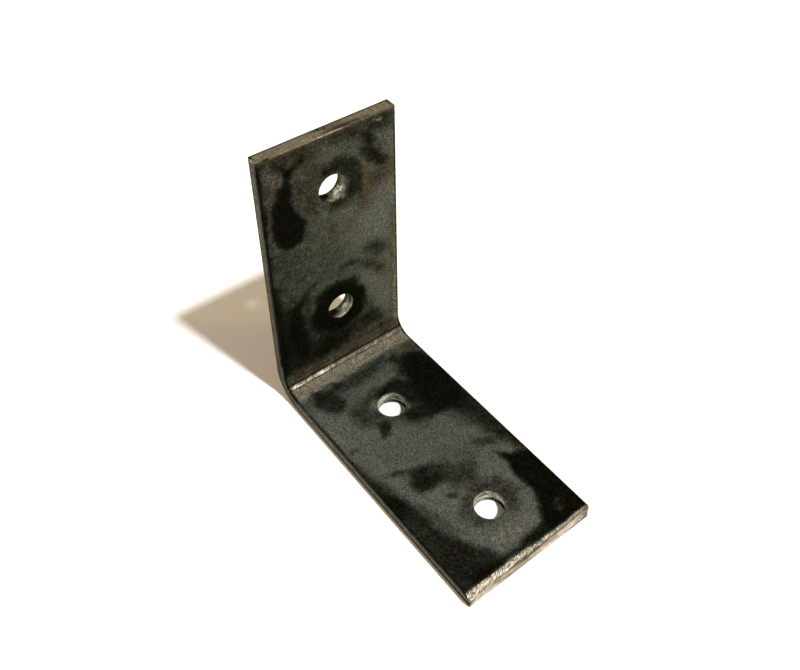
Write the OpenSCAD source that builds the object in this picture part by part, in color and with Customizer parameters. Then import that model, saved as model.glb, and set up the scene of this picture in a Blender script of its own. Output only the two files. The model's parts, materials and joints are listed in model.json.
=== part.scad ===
// Corner brace bracket: a piece of hot-rolled flat bar, drilled four times and folded once to a
// right angle. It stands on its base leg, with its other leg upright.
//
// Frame: millimetres, +Z up. The origin is the corner where the planes of the two outer faces
// meet, half way across the bar. The base leg's underside lies on Z = 0 and runs to +X, and the
// upright leg's back lies on X = 0 and runs to +Z.

/* [Flat bar] */
// Width of the bar
bar_width = 40; // [30:0.5:60]
// Thickness of the bar
bar_thickness = 4; // [3:0.1:6]
// Radius of the bar's four rolled edges
rolled_edge_r = 0.6; // [0.2:0.1:1.2]

/* [Legs] */
// Height of the upright leg, from the base leg's underside to its cut end
upright_height = 82.6; // [70:0.1:150]
// Length of the base leg, from the upright leg's back to its cut end
base_length = 83.6; // [70:0.1:150]

/* [Fold] */
// Radius of the inside of the fold
fold_inner_r = 5.2; // [3:0.1:10]
// Radius of the press tool's nose, which marked the inside of the fold
crease_tool_r = 1.6; // [0.8:0.1:2.5]
// Depth of that mark below the inside of the fold
crease_depth = 0.12; // [0.05:0.01:0.3]
// Place of that mark round the fold, in degrees from the upright leg towards the base leg
crease_angle = 48; // [20:1:70]

/* [Holes] */
// Diameter of the drilled holes
hole_d = 8; // [4:0.1:12]
// Width of the broken edge at each mouth of a hole
hole_deburr = 0.15; // [0.05:0.05:0.5]
// Distance from the upright leg's cut end to the centre of its upper hole
upright_hole_margin = 16.5; // [8:0.1:30]
// Distance between the centres of the upright leg's holes
upright_hole_pitch = 41.4; // [15:0.1:48]
// Distance by which the upright leg's holes miss the middle of the bar
upright_hole_drift = 0.1; // [-2:0.1:2]
// Distance from the base leg's cut end to the centre of its outer hole
base_hole_margin = 16.2; // [8:0.1:30]
// Distance between the centres of the base leg's holes
base_hole_pitch = 40.8; // [15:0.1:48]
// Distance by which the base leg's holes miss the middle of the bar
base_hole_drift = 0.3; // [-2:0.1:2]

/* [Cut ends] */
// Width of the chamfer on the sawn edges
sawn_edge_chamfer = 0.3; // [0.1:0.1:0.8]
// Width of the ground bevel at the bar's left edge, on top of the base leg's end
bevel_width_left = 2; // [0.8:0.1:3]
// Width of that bevel at the bar's right edge
bevel_width_right = 1.2; // [0.8:0.1:3]
// Slope of that bevel, in degrees below the leg's top face
bevel_slope = 23; // [10:1:35]
// Size of the corner ground off the base leg's end, at the bar's left edge
corner_clip_left = 0.3; // [0.3:0.1:3]
// Size of the corner ground off the base leg's end, at the bar's right edge
corner_clip_right = 0.7; // [0.3:0.1:3]

/* [Hidden] */

$fn = 96;
mill_scale = [0.23, 0.24, 0.22];
fold_outer_r = fold_inner_r + bar_thickness;
half_width = bar_width / 2;
// How far a cutting shape reaches past the metal that it cuts
overcut = 1;
upper_hole_z = upright_height - upright_hole_margin;
lower_hole_z = upper_hole_z - upright_hole_pitch;
outer_hole_x = base_length - base_hole_margin;
inner_hole_x = outer_hole_x - base_hole_pitch;
// Angle in plan between the bevel's upper edge and the cut end
bevel_skew = atan((bevel_width_left - bevel_width_right) / bar_width);

// The bar's cross-section: its thickness from 0 along X, its width centred on Y
module bar_section() {
    translate([0, rolled_edge_r - half_width])
        square([bar_thickness, bar_width - 2 * rolled_edge_r]);
    translate([rolled_edge_r, -half_width])
        square([bar_thickness - 2 * rolled_edge_r, bar_width]);
    for (x = [rolled_edge_r, bar_thickness - rolled_edge_r], side = [-1, 1])
        translate([x, side * (half_width - rolled_edge_r)])
            circle(r = rolled_edge_r);
}

module upright_leg() {
    translate([0, 0, fold_outer_r])
        linear_extrude(upright_height - fold_outer_r)
            bar_section();
}

module base_leg() {
    translate([fold_outer_r, 0, bar_thickness])
        rotate([0, 90, 0])
            linear_extrude(base_length - fold_outer_r)
                bar_section();
}

// The quarter turn that joins the legs, about an axis along Y
module fold() {
    translate([fold_outer_r, 0, fold_outer_r])
        rotate([90, 180, 0])
            rotate_extrude(angle = 90)
                translate([fold_inner_r, 0])
                    bar_section();
}

// The mark of the press tool's nose across the inside of the fold
module press_crease() {
    nose_offset = fold_inner_r + crease_depth - crease_tool_r;
    translate([fold_outer_r, 0, fold_outer_r])
        rotate([0, -crease_angle, 0])
            translate([-nose_offset, 0, 0])
                rotate([90, 0, 0])
                    cylinder(r = crease_tool_r, h = bar_width + 2 * overcut, center = true);
}

// A hole through the bar along +Z from the face at Z = 0, with both mouths deburred
module drilled_hole() {
    bore_r = hole_d / 2;
    translate([0, 0, -overcut])
        cylinder(r = bore_r, h = bar_thickness + 2 * overcut);
    translate([0, 0, -overcut])
        cylinder(r1 = bore_r + hole_deburr + overcut, r2 = bore_r, h = hole_deburr + overcut);
    translate([0, 0, bar_thickness - hole_deburr])
        cylinder(r1 = bore_r, r2 = bore_r + hole_deburr + overcut, h = hole_deburr + overcut);
}

module upright_holes() {
    for (z = [lower_hole_z, upper_hole_z])
        translate([0, upright_hole_drift, z])
            rotate([0, 90, 0])
                drilled_hole();
}

module base_holes() {
    for (x = [inner_hole_x, outer_hole_x])
        translate([x, base_hole_drift, 0])
            drilled_hole();
}

// A bar of square section along Y that takes a 45 degree chamfer off an edge on the Y axis
module edge_chamfer(width) {
    side = width * sqrt(2);
    rotate([0, 45, 0])
        cube([side, bar_width + 2 * overcut, side], center = true);
}

// The light chamfer on the upright leg's sawn end and under the base leg's end
module sawn_edges() {
    translate([0, 0, upright_height])
        edge_chamfer(sawn_edge_chamfer);
    translate([bar_thickness, 0, upright_height])
        edge_chamfer(sawn_edge_chamfer);
    translate([base_length, 0, 0])
        edge_chamfer(sawn_edge_chamfer);
}

// The bevel ground by hand on top of the base leg's end, wider at the bar's left edge
module end_bevel() {
    translate([base_length - (bevel_width_left + bevel_width_right) / 2, 0, bar_thickness])
        rotate([0, 0, -bevel_skew])
            rotate([0, bevel_slope, 0])
                translate([-overcut, -bar_width, 0])
                    cube([bevel_width_left + 4 * overcut, 2 * bar_width, bar_thickness]);
}

// A corner ground off the base leg's end in plan, on the side given by its sign
module end_corner(side, clip) {
    depth = clip * sqrt(2);
    translate([base_length, side * half_width, bar_thickness / 2])
        rotate([0, 0, 45])
            cube([depth, depth, bar_thickness + 2 * overcut], center = true);
}

module bracket() {
    color(mill_scale)
        difference() {
            union() {
                upright_leg();
                fold();
                base_leg();
            }
            press_crease();
            upright_holes();
            base_holes();
            sawn_edges();
            end_bevel();
            end_corner(-1, corner_clip_left);
            end_corner(1, corner_clip_right);
        }
}

bracket();
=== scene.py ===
import json
import math

import bmesh
import bpy
import numpy as np
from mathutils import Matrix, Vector, noise


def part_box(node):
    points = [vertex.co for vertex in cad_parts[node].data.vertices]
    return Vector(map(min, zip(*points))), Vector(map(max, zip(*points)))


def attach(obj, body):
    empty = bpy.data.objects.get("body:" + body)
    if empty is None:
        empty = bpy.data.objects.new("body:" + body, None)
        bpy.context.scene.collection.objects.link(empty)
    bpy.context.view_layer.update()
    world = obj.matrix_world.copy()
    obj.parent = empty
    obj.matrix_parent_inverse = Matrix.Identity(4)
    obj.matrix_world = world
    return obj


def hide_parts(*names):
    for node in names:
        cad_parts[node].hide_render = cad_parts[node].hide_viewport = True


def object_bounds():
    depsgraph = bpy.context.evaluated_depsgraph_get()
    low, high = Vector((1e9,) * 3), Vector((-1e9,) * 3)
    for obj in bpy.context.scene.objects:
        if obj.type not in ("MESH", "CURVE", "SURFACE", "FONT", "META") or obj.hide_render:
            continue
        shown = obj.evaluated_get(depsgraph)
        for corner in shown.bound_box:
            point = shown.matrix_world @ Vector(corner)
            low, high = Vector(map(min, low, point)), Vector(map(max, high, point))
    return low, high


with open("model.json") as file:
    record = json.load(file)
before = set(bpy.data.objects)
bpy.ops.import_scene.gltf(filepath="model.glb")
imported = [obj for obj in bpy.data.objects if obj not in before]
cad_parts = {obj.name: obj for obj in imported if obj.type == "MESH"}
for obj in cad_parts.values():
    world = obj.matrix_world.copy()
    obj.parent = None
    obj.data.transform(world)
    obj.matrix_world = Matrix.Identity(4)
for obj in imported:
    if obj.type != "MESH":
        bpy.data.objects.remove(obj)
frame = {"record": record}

bl_info = {
    "name": "Corner brace bracket",
    "version": (1, 0, 0),
    "blender": (4, 5, 0),
    "location": "View3D > Sidebar > Bracket",
    "description": "Folds a drilled flat bar into a corner brace and gives it its mill scale",
    "category": "Add Mesh",
}

# What the frame gives, in metres: +X along the base leg, +Z up the upright leg
MM = 0.001
CAD_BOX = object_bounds()
NODE = "bracket"
LOW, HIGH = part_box(NODE)
MOUNTS = {mount["name"]: mount for mount in frame["record"]["mounts"]}
UPRIGHT_HOLES = ("upright_upper_hole", "upright_lower_hole")
BASE_HOLES = ("base_inner_hole", "base_outer_hole")

# How far apart the bar's rows are: on its flats, and where it is folded or ground
FLAT_STEP = 0.47 * MM
FINE_STEP = 0.22 * MM


# ---------------------------------------------------------------- sizes and colours

def length_setting(name, description, default):
    """A size that the panel shows as a length."""
    return bpy.props.FloatProperty(
        name=name, description=description, default=default, unit="LENGTH"
    )


def colour_setting(name, description, default):
    """A colour that the panel shows as a swatch."""
    return bpy.props.FloatVectorProperty(
        name=name,
        description=description,
        default=default,
        subtype="COLOR",
        size=3,
        min=0.0,
        max=1.0,
    )


class BracketBar(bpy.types.PropertyGroup):
    """The bar and its fold"""

    thickness: length_setting(
        "Thickness",
        "Thickness of the bar",
        MOUNTS["upright_front"]["pos_m"][0],
    )
    rolled_edge: length_setting(
        "Rolled edge",
        "Radius of the bar's four rolled edges",
        0.6 * MM,
    )
    fold_radius: length_setting(
        "Fold radius",
        "Radius of the inside of the fold",
        5.2 * MM,
    )
    crease_angle: bpy.props.FloatProperty(
        name="Crease angle",
        description="Place of the press tool's mark round the fold, from the upright leg",
        default=math.radians(48),
        unit="ROTATION",
    )
    crease_depth: length_setting(
        "Crease depth",
        "Depth of the press tool's mark",
        0.12 * MM,
    )
    crease_tool: length_setting(
        "Press tool",
        "Radius of the press tool's nose",
        1.6 * MM,
    )
    scale_relief: length_setting(
        "Scale relief",
        "Depth of the unevenness that rolling and flaking leave in the scale",
        0.04 * MM,
    )


class BracketEnds(bpy.types.PropertyGroup):
    """The holes and the cut ends"""

    hole_deburr: length_setting(
        "Hole deburr",
        "Width of the broken edge at each mouth of a hole",
        0.15 * MM,
    )
    sawn_chamfer: length_setting(
        "Sawn edges",
        "Width of the light chamfer on the sawn edges",
        0.3 * MM,
    )
    bevel_left: length_setting(
        "Bevel, left",
        "Width of the ground bevel at the base leg's left edge",
        2.0 * MM,
    )
    bevel_right: length_setting(
        "Bevel, right",
        "Width of the ground bevel at the base leg's right edge",
        1.2 * MM,
    )
    bevel_slope: bpy.props.FloatProperty(
        name="Bevel slope",
        description="Slope of the ground bevel below the base leg's top face",
        default=math.radians(23),
        unit="ROTATION",
    )
    clip_left: length_setting(
        "Corner, left",
        "Size of the corner ground off the base leg's left edge",
        0.3 * MM,
    )
    clip_right: length_setting(
        "Corner, right",
        "Size of the corner ground off the base leg's right edge",
        0.7 * MM,
    )


class BracketFinish(bpy.types.PropertyGroup):
    """The colours of the scale and of the steel under it"""

    grey_scale: colour_setting(
        "Grey scale",
        "Mill scale that has been handled and has gone grey",
        (0.083, 0.088, 0.071),
    )
    # Painted light: a warmer copy of the grey scale for the upright leg, standing in for warm light
    # that the floor bounces onto it
    bounce_warmed_scale: colour_setting(
        "Warm scale",
        "Grey scale on the upright leg, which has a little more rust in it",
        (0.083, 0.087, 0.062),
    )
    black_scale: colour_setting(
        "Black scale",
        "Thick scale, and scale that is stained with oil",
        (0.0028, 0.0030, 0.0016),
    )
    rust: colour_setting(
        "Rust",
        "Thin brown rust and dried dirt",
        (0.050, 0.039, 0.021),
    )
    dust: colour_setting(
        "Dust",
        "Pale dust, and scale that has been crushed to powder",
        (0.145, 0.133, 0.094),
    )
    ground_steel: colour_setting(
        "Ground steel",
        "Steel that has been ground or rubbed bright",
        (0.55, 0.465, 0.35),
    )
    # Also the colour of the painted highlight along the upright leg's top edge
    cut_steel: colour_setting(
        "Cut steel",
        "Steel at the base leg's cut end, under the bevel",
        (0.86, 0.73, 0.56),
    )
    drilled_steel: colour_setting(
        "Drilled steel",
        "Steel inside the holes, which has dulled",
        (0.64, 0.62, 0.48),
    )
    sawn_steel: colour_setting(
        "Sawn steel",
        "Steel at the upright leg's sawn end, which has begun to rust",
        (0.41, 0.335, 0.22),
    )


class BracketStudio(bpy.types.PropertyGroup):
    """The floor and the light"""

    key_light: bpy.props.FloatProperty(
        name="Key light",
        description="Strength of the lamp",
        default=3.2,
        min=0.0,
    )
    room_light: bpy.props.FloatProperty(
        name="Room light",
        description="Strength of the even light from all round",
        default=0.28,
        min=0.0,
    )
    floor_colour: colour_setting(
        "Floor",
        "Colour of the floor",
        (0.95, 0.945, 0.95),
    )


# ---------------------------------------------------------------- node building

# The kinds of socket that node groups have here
FLOAT = "NodeSocketFloat"
VECTOR = "NodeSocketVector"
COLOUR = "NodeSocketColor"
GEOMETRY = "NodeSocketGeometry"
MATERIAL = "NodeSocketMaterial"


def place(tree, kind, inputs=None, **settings):
    """Adds a node to a tree, sets it, and fills or links its inputs, given by name or number."""
    node = tree.nodes.new(kind)
    number = len(tree.nodes)
    node.location = (number % 10 * 200, number // 10 * -280)
    for name, value in settings.items():
        setattr(node, name, value)
    for key, value in (inputs or {}).items():
        if isinstance(value, bpy.types.NodeSocket):
            tree.links.new(value, node.inputs[key])
        else:
            node.inputs[key].default_value = value
    return node


def calc(tree, operation, *values, clamp=False):
    """The output of a Math node."""
    node = place(tree, "ShaderNodeMath", dict(enumerate(values)), operation=operation)
    node.use_clamp = clamp
    return node.outputs[0]


def blend(tree, share, first, second):
    """A colour between two colours."""
    node = place(tree, "ShaderNodeMix", {0: share, 6: first, 7: second}, data_type="RGBA")
    return node.outputs[2]


def rise(tree, value, low, high):
    """A value that climbs smoothly from 0 to 1 as another goes from low to high."""
    node = place(
        tree,
        "ShaderNodeMapRange",
        {"Value": value, "From Min": low, "From Max": high},
        interpolation_type="SMOOTHSTEP",
    )
    return node.outputs[0]


def use(tree, group, **inputs):
    """Places a node group; its input sockets are named in lower case with _ for a space."""
    node = place(tree, "ShaderNodeGroup", node_tree=group)
    for socket in node.inputs:
        value = inputs.pop(socket.name.lower().replace(" ", "_"), None)
        if isinstance(value, bpy.types.NodeSocket):
            tree.links.new(value, socket)
        elif value is not None:
            socket.default_value = value
    if inputs:
        raise KeyError(f"{group.name} has no input {sorted(inputs)}")
    return node.outputs


def add_sockets(tree, inputs, outputs):
    """Gives a node group its named sockets: each is a name, a kind and, for an input, a default."""
    for name, kind, *default in inputs:
        socket = tree.interface.new_socket(name=name, in_out="INPUT", socket_type=kind)
        if default:
            socket.default_value = default[0]
    for name, kind in outputs:
        tree.interface.new_socket(name=name, in_out="OUTPUT", socket_type=kind)


# ---------------------------------------------------------------- the flat bar

class FlatBar:
    """The bar before it is folded.

    Along runs from the upright leg's cut end to the base leg's, with zero at the middle of the
    fold. Across runs from the bar's left edge to its right. Depth runs from the face that ends
    inside the fold to the other.
    """

    def __init__(self, bar, ends):
        self.bar = bar
        self.ends = ends
        self.thickness = bar.thickness
        self.half_width = (HIGH.y - LOW.y) / 2
        self.half_fold = bar.fold_radius * math.pi / 4
        outer_radius = bar.fold_radius + bar.thickness
        self.straight = self.half_fold - outer_radius
        self.top_end = -(HIGH.z + self.straight)
        self.base_end = HIGH.x + self.straight
        self.rows_bend = self.base_end - 4 * MM
        self.bevel_row = self.base_end - 1.5 * MM
        self.hole_radius = MOUNTS[BASE_HOLES[0]]["dims"]["r_mm"] * MM
        self.holes = []
        for name in UPRIGHT_HOLES:
            centre = MOUNTS[name]["pos_m"]
            self.holes.append((-(centre[2] + self.straight), centre[1]))
        for name in BASE_HOLES:
            centre = MOUNTS[name]["pos_m"]
            self.holes.append((centre[0] + self.straight, centre[1]))
        self.crease = (bar.crease_angle - math.pi / 4) * bar.fold_radius
        nose = bar.fold_radius + bar.crease_depth - bar.crease_tool
        sides = bar.fold_radius ** 2 + nose ** 2 - bar.crease_tool ** 2
        turn = math.acos(sides / (2 * bar.fold_radius * nose))
        self.crease_half = turn * bar.fold_radius

    def bevel_start(self, across):
        """Where the ground bevel starts along the bar: it wanders as a hand-held grinder does."""
        right = (across + self.half_width) / (2 * self.half_width)
        width = self.ends.bevel_left * (1 - right) + self.ends.bevel_right * right
        return self.base_end - width + wander(across, 1.7 * MM, 0.11 * MM, 3)


class Skin:
    """The points and faces of a mesh, gathered patch by patch."""

    def __init__(self):
        self.points = []
        self.faces = []
        self.count = 0

    def add(self, points, keep=None):
        """Adds a patch: a grid of points, with a face in each of its cells that is kept."""
        rows, columns = points.shape[:2]
        ids = self.count + np.arange(rows * columns).reshape(rows, columns)
        cells = np.stack([ids[:-1, :-1], ids[:-1, 1:], ids[1:, 1:], ids[1:, :-1]], axis=-1)
        cells = cells.reshape(-1, 4) if keep is None else cells[keep]
        self.points.append(points.reshape(-1, 3))
        self.faces.extend(cells.tolist())
        self.count += rows * columns

    def add_face(self, points):
        """Adds one face, with any number of corners."""
        self.points.append(points)
        self.faces.append(list(range(self.count, self.count + len(points))))
        self.count += len(points)


def spread(stops, step):
    """Places that pass through every stop; step gives the widest gap allowed near a place."""
    places = [stops[0]]
    for start, end in zip(stops, stops[1:]):
        count = max(1, math.ceil((end - start) / step((start + end) / 2) - 0.001))
        places.extend(np.linspace(start, end, count + 1)[1:])
    return np.array(places)


def wander(place_on_line, wavelength, reach, seed):
    """A smooth random drift along a line, no further than reach."""
    draw = np.random.default_rng(seed)
    drift = np.zeros_like(place_on_line)
    for octave in range(4):
        phase, stretch = draw.uniform(0, 6.283), draw.uniform(0.8, 1.2)
        drift += np.sin(place_on_line / wavelength * stretch * 2 ** octave + phase) / 1.6 ** octave
    return drift * reach / 2.5


def grid(along, across, depth):
    """Points at every pair of places along and across the bar, at one depth."""
    a, c = np.meshgrid(along, across, indexing="ij")
    return np.stack([a, c, np.full_like(a, depth)], axis=-1)


def edge_profile(flat):
    """The bar's rolled edge, as distances in from its side, and depths."""
    radius = flat.bar.rolled_edge
    turns = np.linspace(0, math.pi / 2, 6)
    rounded = np.stack([radius - radius * np.sin(turns), radius - radius * np.cos(turns)], axis=-1)
    depths = np.linspace(radius, flat.thickness - radius, 8)[1:-1]
    side = np.stack([np.zeros_like(depths), depths], axis=-1)
    back = rounded[::-1] * (1, -1) + (0, flat.thickness)
    return np.concatenate([rounded, side, back])


def hole_patch(flat, hole, number, rows, columns, depth):
    """The face round a hole: rings that turn from the hole's mouth into a square."""
    sides = [
        [(rows[0], c) for c in columns[:-1]],
        [(r, columns[-1]) for r in rows[:-1]],
        [(rows[-1], c) for c in columns[:0:-1]],
        [(r, columns[0]) for r in rows[::-1]],
    ]
    square = np.array([point for side in sides for point in side])
    turn = np.arctan2(square[:, 1], square[:, 0] - hole[0])
    mouth = ring(flat, hole, number, turn, flat.ends.hole_deburr)
    rings = []
    for share in np.linspace(0, 1, 10):
        rings.append(mouth * (1 - share) + square * share)
    rings = np.array(rings)
    return np.concatenate([rings, np.full(rings.shape[:2] + (1,), depth)], axis=-1), turn


def ring(flat, hole, number, turn, wider):
    """A circle round a hole, wider than its bore; only a wider one is uneven."""
    uneven = 1 + 0.35 * wander(turn, 0.45, 1.0, 20 + number)
    uneven[-1] = uneven[0]
    radius = flat.hole_radius + wider * uneven
    return np.stack([hole[0] + radius * np.cos(turn), hole[1] + radius * np.sin(turn)], axis=-1)


def bore(flat, hole, number, turn):
    """The wall of a hole, with its two broken edges."""
    deburr = flat.ends.hole_deburr
    wall = np.linspace(deburr, flat.thickness - deburr, 9)
    profile = [(deburr, 0.0)] + [(0.0, depth) for depth in wall] + [(deburr, flat.thickness)]
    rings = []
    for wider, depth in profile:
        points = ring(flat, hole, number, turn, wider)
        rings.append(np.concatenate([points, np.full((len(points), 1), depth)], axis=-1))
    return np.array(rings)


def follow_bevel(flat, points):
    """Bends the rows near the base leg's end, so that one of them lies along the bevel's start."""
    along, across = points[:, 0], points[:, 1]
    start, middle, end = flat.rows_bend, flat.bevel_row, flat.base_end
    line = flat.bevel_start(across)
    before = start + (along - start) / (middle - start) * (line - start)
    after = line + (along - middle) / (end - middle) * (end - line)
    moved = np.where(along > middle, after, before)
    points[:, 0] = np.where(along > start, moved, along)


def cut_ends(flat, points):
    """Clips the base leg's corners, grinds its bevel and breaks the sawn edges."""
    ends = flat.ends
    along, across, depth = points.T
    for side, clip in ((-1, ends.clip_left), (1, ends.clip_right)):
        past = np.maximum(0, across * side - (flat.half_width - clip))
        along = np.minimum(along, flat.base_end - past)
    ground = (along - flat.bevel_start(across)) * math.tan(ends.bevel_slope)
    depth = np.maximum(depth, np.where(ground > 0, ground, -1))
    chamfer = ends.sawn_chamfer + wander(across, 1.1 * MM, 0.06 * MM, 5)
    front = chamfer - (along - flat.top_end)
    depth = np.maximum(depth, front)
    for gap in (along - flat.top_end, flat.base_end - along):
        depth = np.minimum(depth, flat.thickness - np.maximum(0, ends.sawn_chamfer - gap))
    return np.stack([along, across, depth], axis=-1)


def flat_blank(flat):
    """The flat bar as a closed mesh, in metres: X along, Y across and Z minus the depth."""
    ends = flat.ends
    window = flat.hole_radius + 3 * MM
    crease_edges = [flat.crease - flat.crease_half, flat.crease + flat.crease_half]
    stops = [flat.top_end, flat.top_end + ends.sawn_chamfer]
    for hole in flat.holes:
        stops += [hole[0] - window, hole[0] + window]
    stops += [-flat.half_fold, flat.half_fold]
    for edge in crease_edges:
        stops += [edge - 0.1 * MM, edge, edge + 0.1 * MM]
    stops += [flat.rows_bend, flat.bevel_row]
    stops += [flat.base_end - ends.sawn_chamfer, flat.base_end]

    def row_step(place_along):
        close = abs(place_along) < flat.half_fold or place_along > flat.rows_bend
        return FINE_STEP if close else FLAT_STEP

    rows = spread(sorted(stops), row_step)
    flat_edge = flat.half_width - flat.bar.rolled_edge
    columns = spread([-flat_edge, -window, window, flat_edge], lambda place_across: FLAT_STEP)
    edge = edge_profile(flat)

    skin = Skin()
    middle_rows = (rows[:-1] + rows[1:])[:, None] / 2
    middle_columns = (columns[:-1] + columns[1:])[None, :] / 2
    keep = np.ones((len(rows) - 1, len(columns) - 1), bool)
    for hole in flat.holes:
        keep &= (abs(middle_rows - hole[0]) > window) | (abs(middle_columns) > window)
    for depth in (0.0, flat.thickness):
        skin.add(grid(rows, columns, depth), keep)
    window_columns = columns[abs(columns) < window + 0.01 * MM]
    for number, hole in enumerate(flat.holes):
        window_rows = rows[abs(rows - hole[0]) < window + 0.01 * MM]
        for depth in (0.0, flat.thickness):
            patch, turn = hole_patch(flat, hole, number, window_rows, window_columns, depth)
            skin.add(patch)
        skin.add(bore(flat, hole, number, turn))
    for side in (-1, 1):
        strip = np.empty((len(rows), len(edge), 3))
        strip[..., 0] = rows[:, None]
        strip[..., 1] = side * (flat.half_width - edge[None, :, 0])
        strip[..., 2] = edge[None, :, 1]
        skin.add(strip)
    for end in (flat.top_end, flat.base_end):
        cap = np.empty((len(edge), len(columns), 3))
        cap[..., 0] = end
        cap[..., 1] = columns[None, :]
        cap[..., 2] = edge[:, None, 1]
        skin.add(cap)
        for side, rim in ((-1, cap[:, 0]), (1, cap[:, -1])):
            outline = rim.copy()
            outline[:, 1] = side * (flat.half_width - edge[:, 0])
            skin.add_face(np.concatenate([outline[1:-1], rim[::-1]]))

    points = np.concatenate(skin.points)
    follow_bevel(flat, points)
    points = cut_ends(flat, points)
    points[:, 2] *= -1
    mesh = bpy.data.meshes.new("flat_blank")
    mesh.from_pydata(points.tolist(), [], skin.faces)
    shaped = bmesh.new()
    shaped.from_mesh(mesh)
    unused = [point for point in shaped.verts if not point.link_faces]
    bmesh.ops.delete(shaped, geom=unused, context="VERTS")
    bmesh.ops.remove_doubles(shaped, verts=shaped.verts, dist=0.002 * MM)
    bmesh.ops.dissolve_degenerate(shaped, edges=shaped.edges, dist=0.002 * MM)
    bmesh.ops.recalc_face_normals(shaped, faces=shaped.faces)
    shaped.to_mesh(mesh)
    shaped.free()
    return mesh


# ---------------------------------------------------------------- stains and wear

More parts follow.
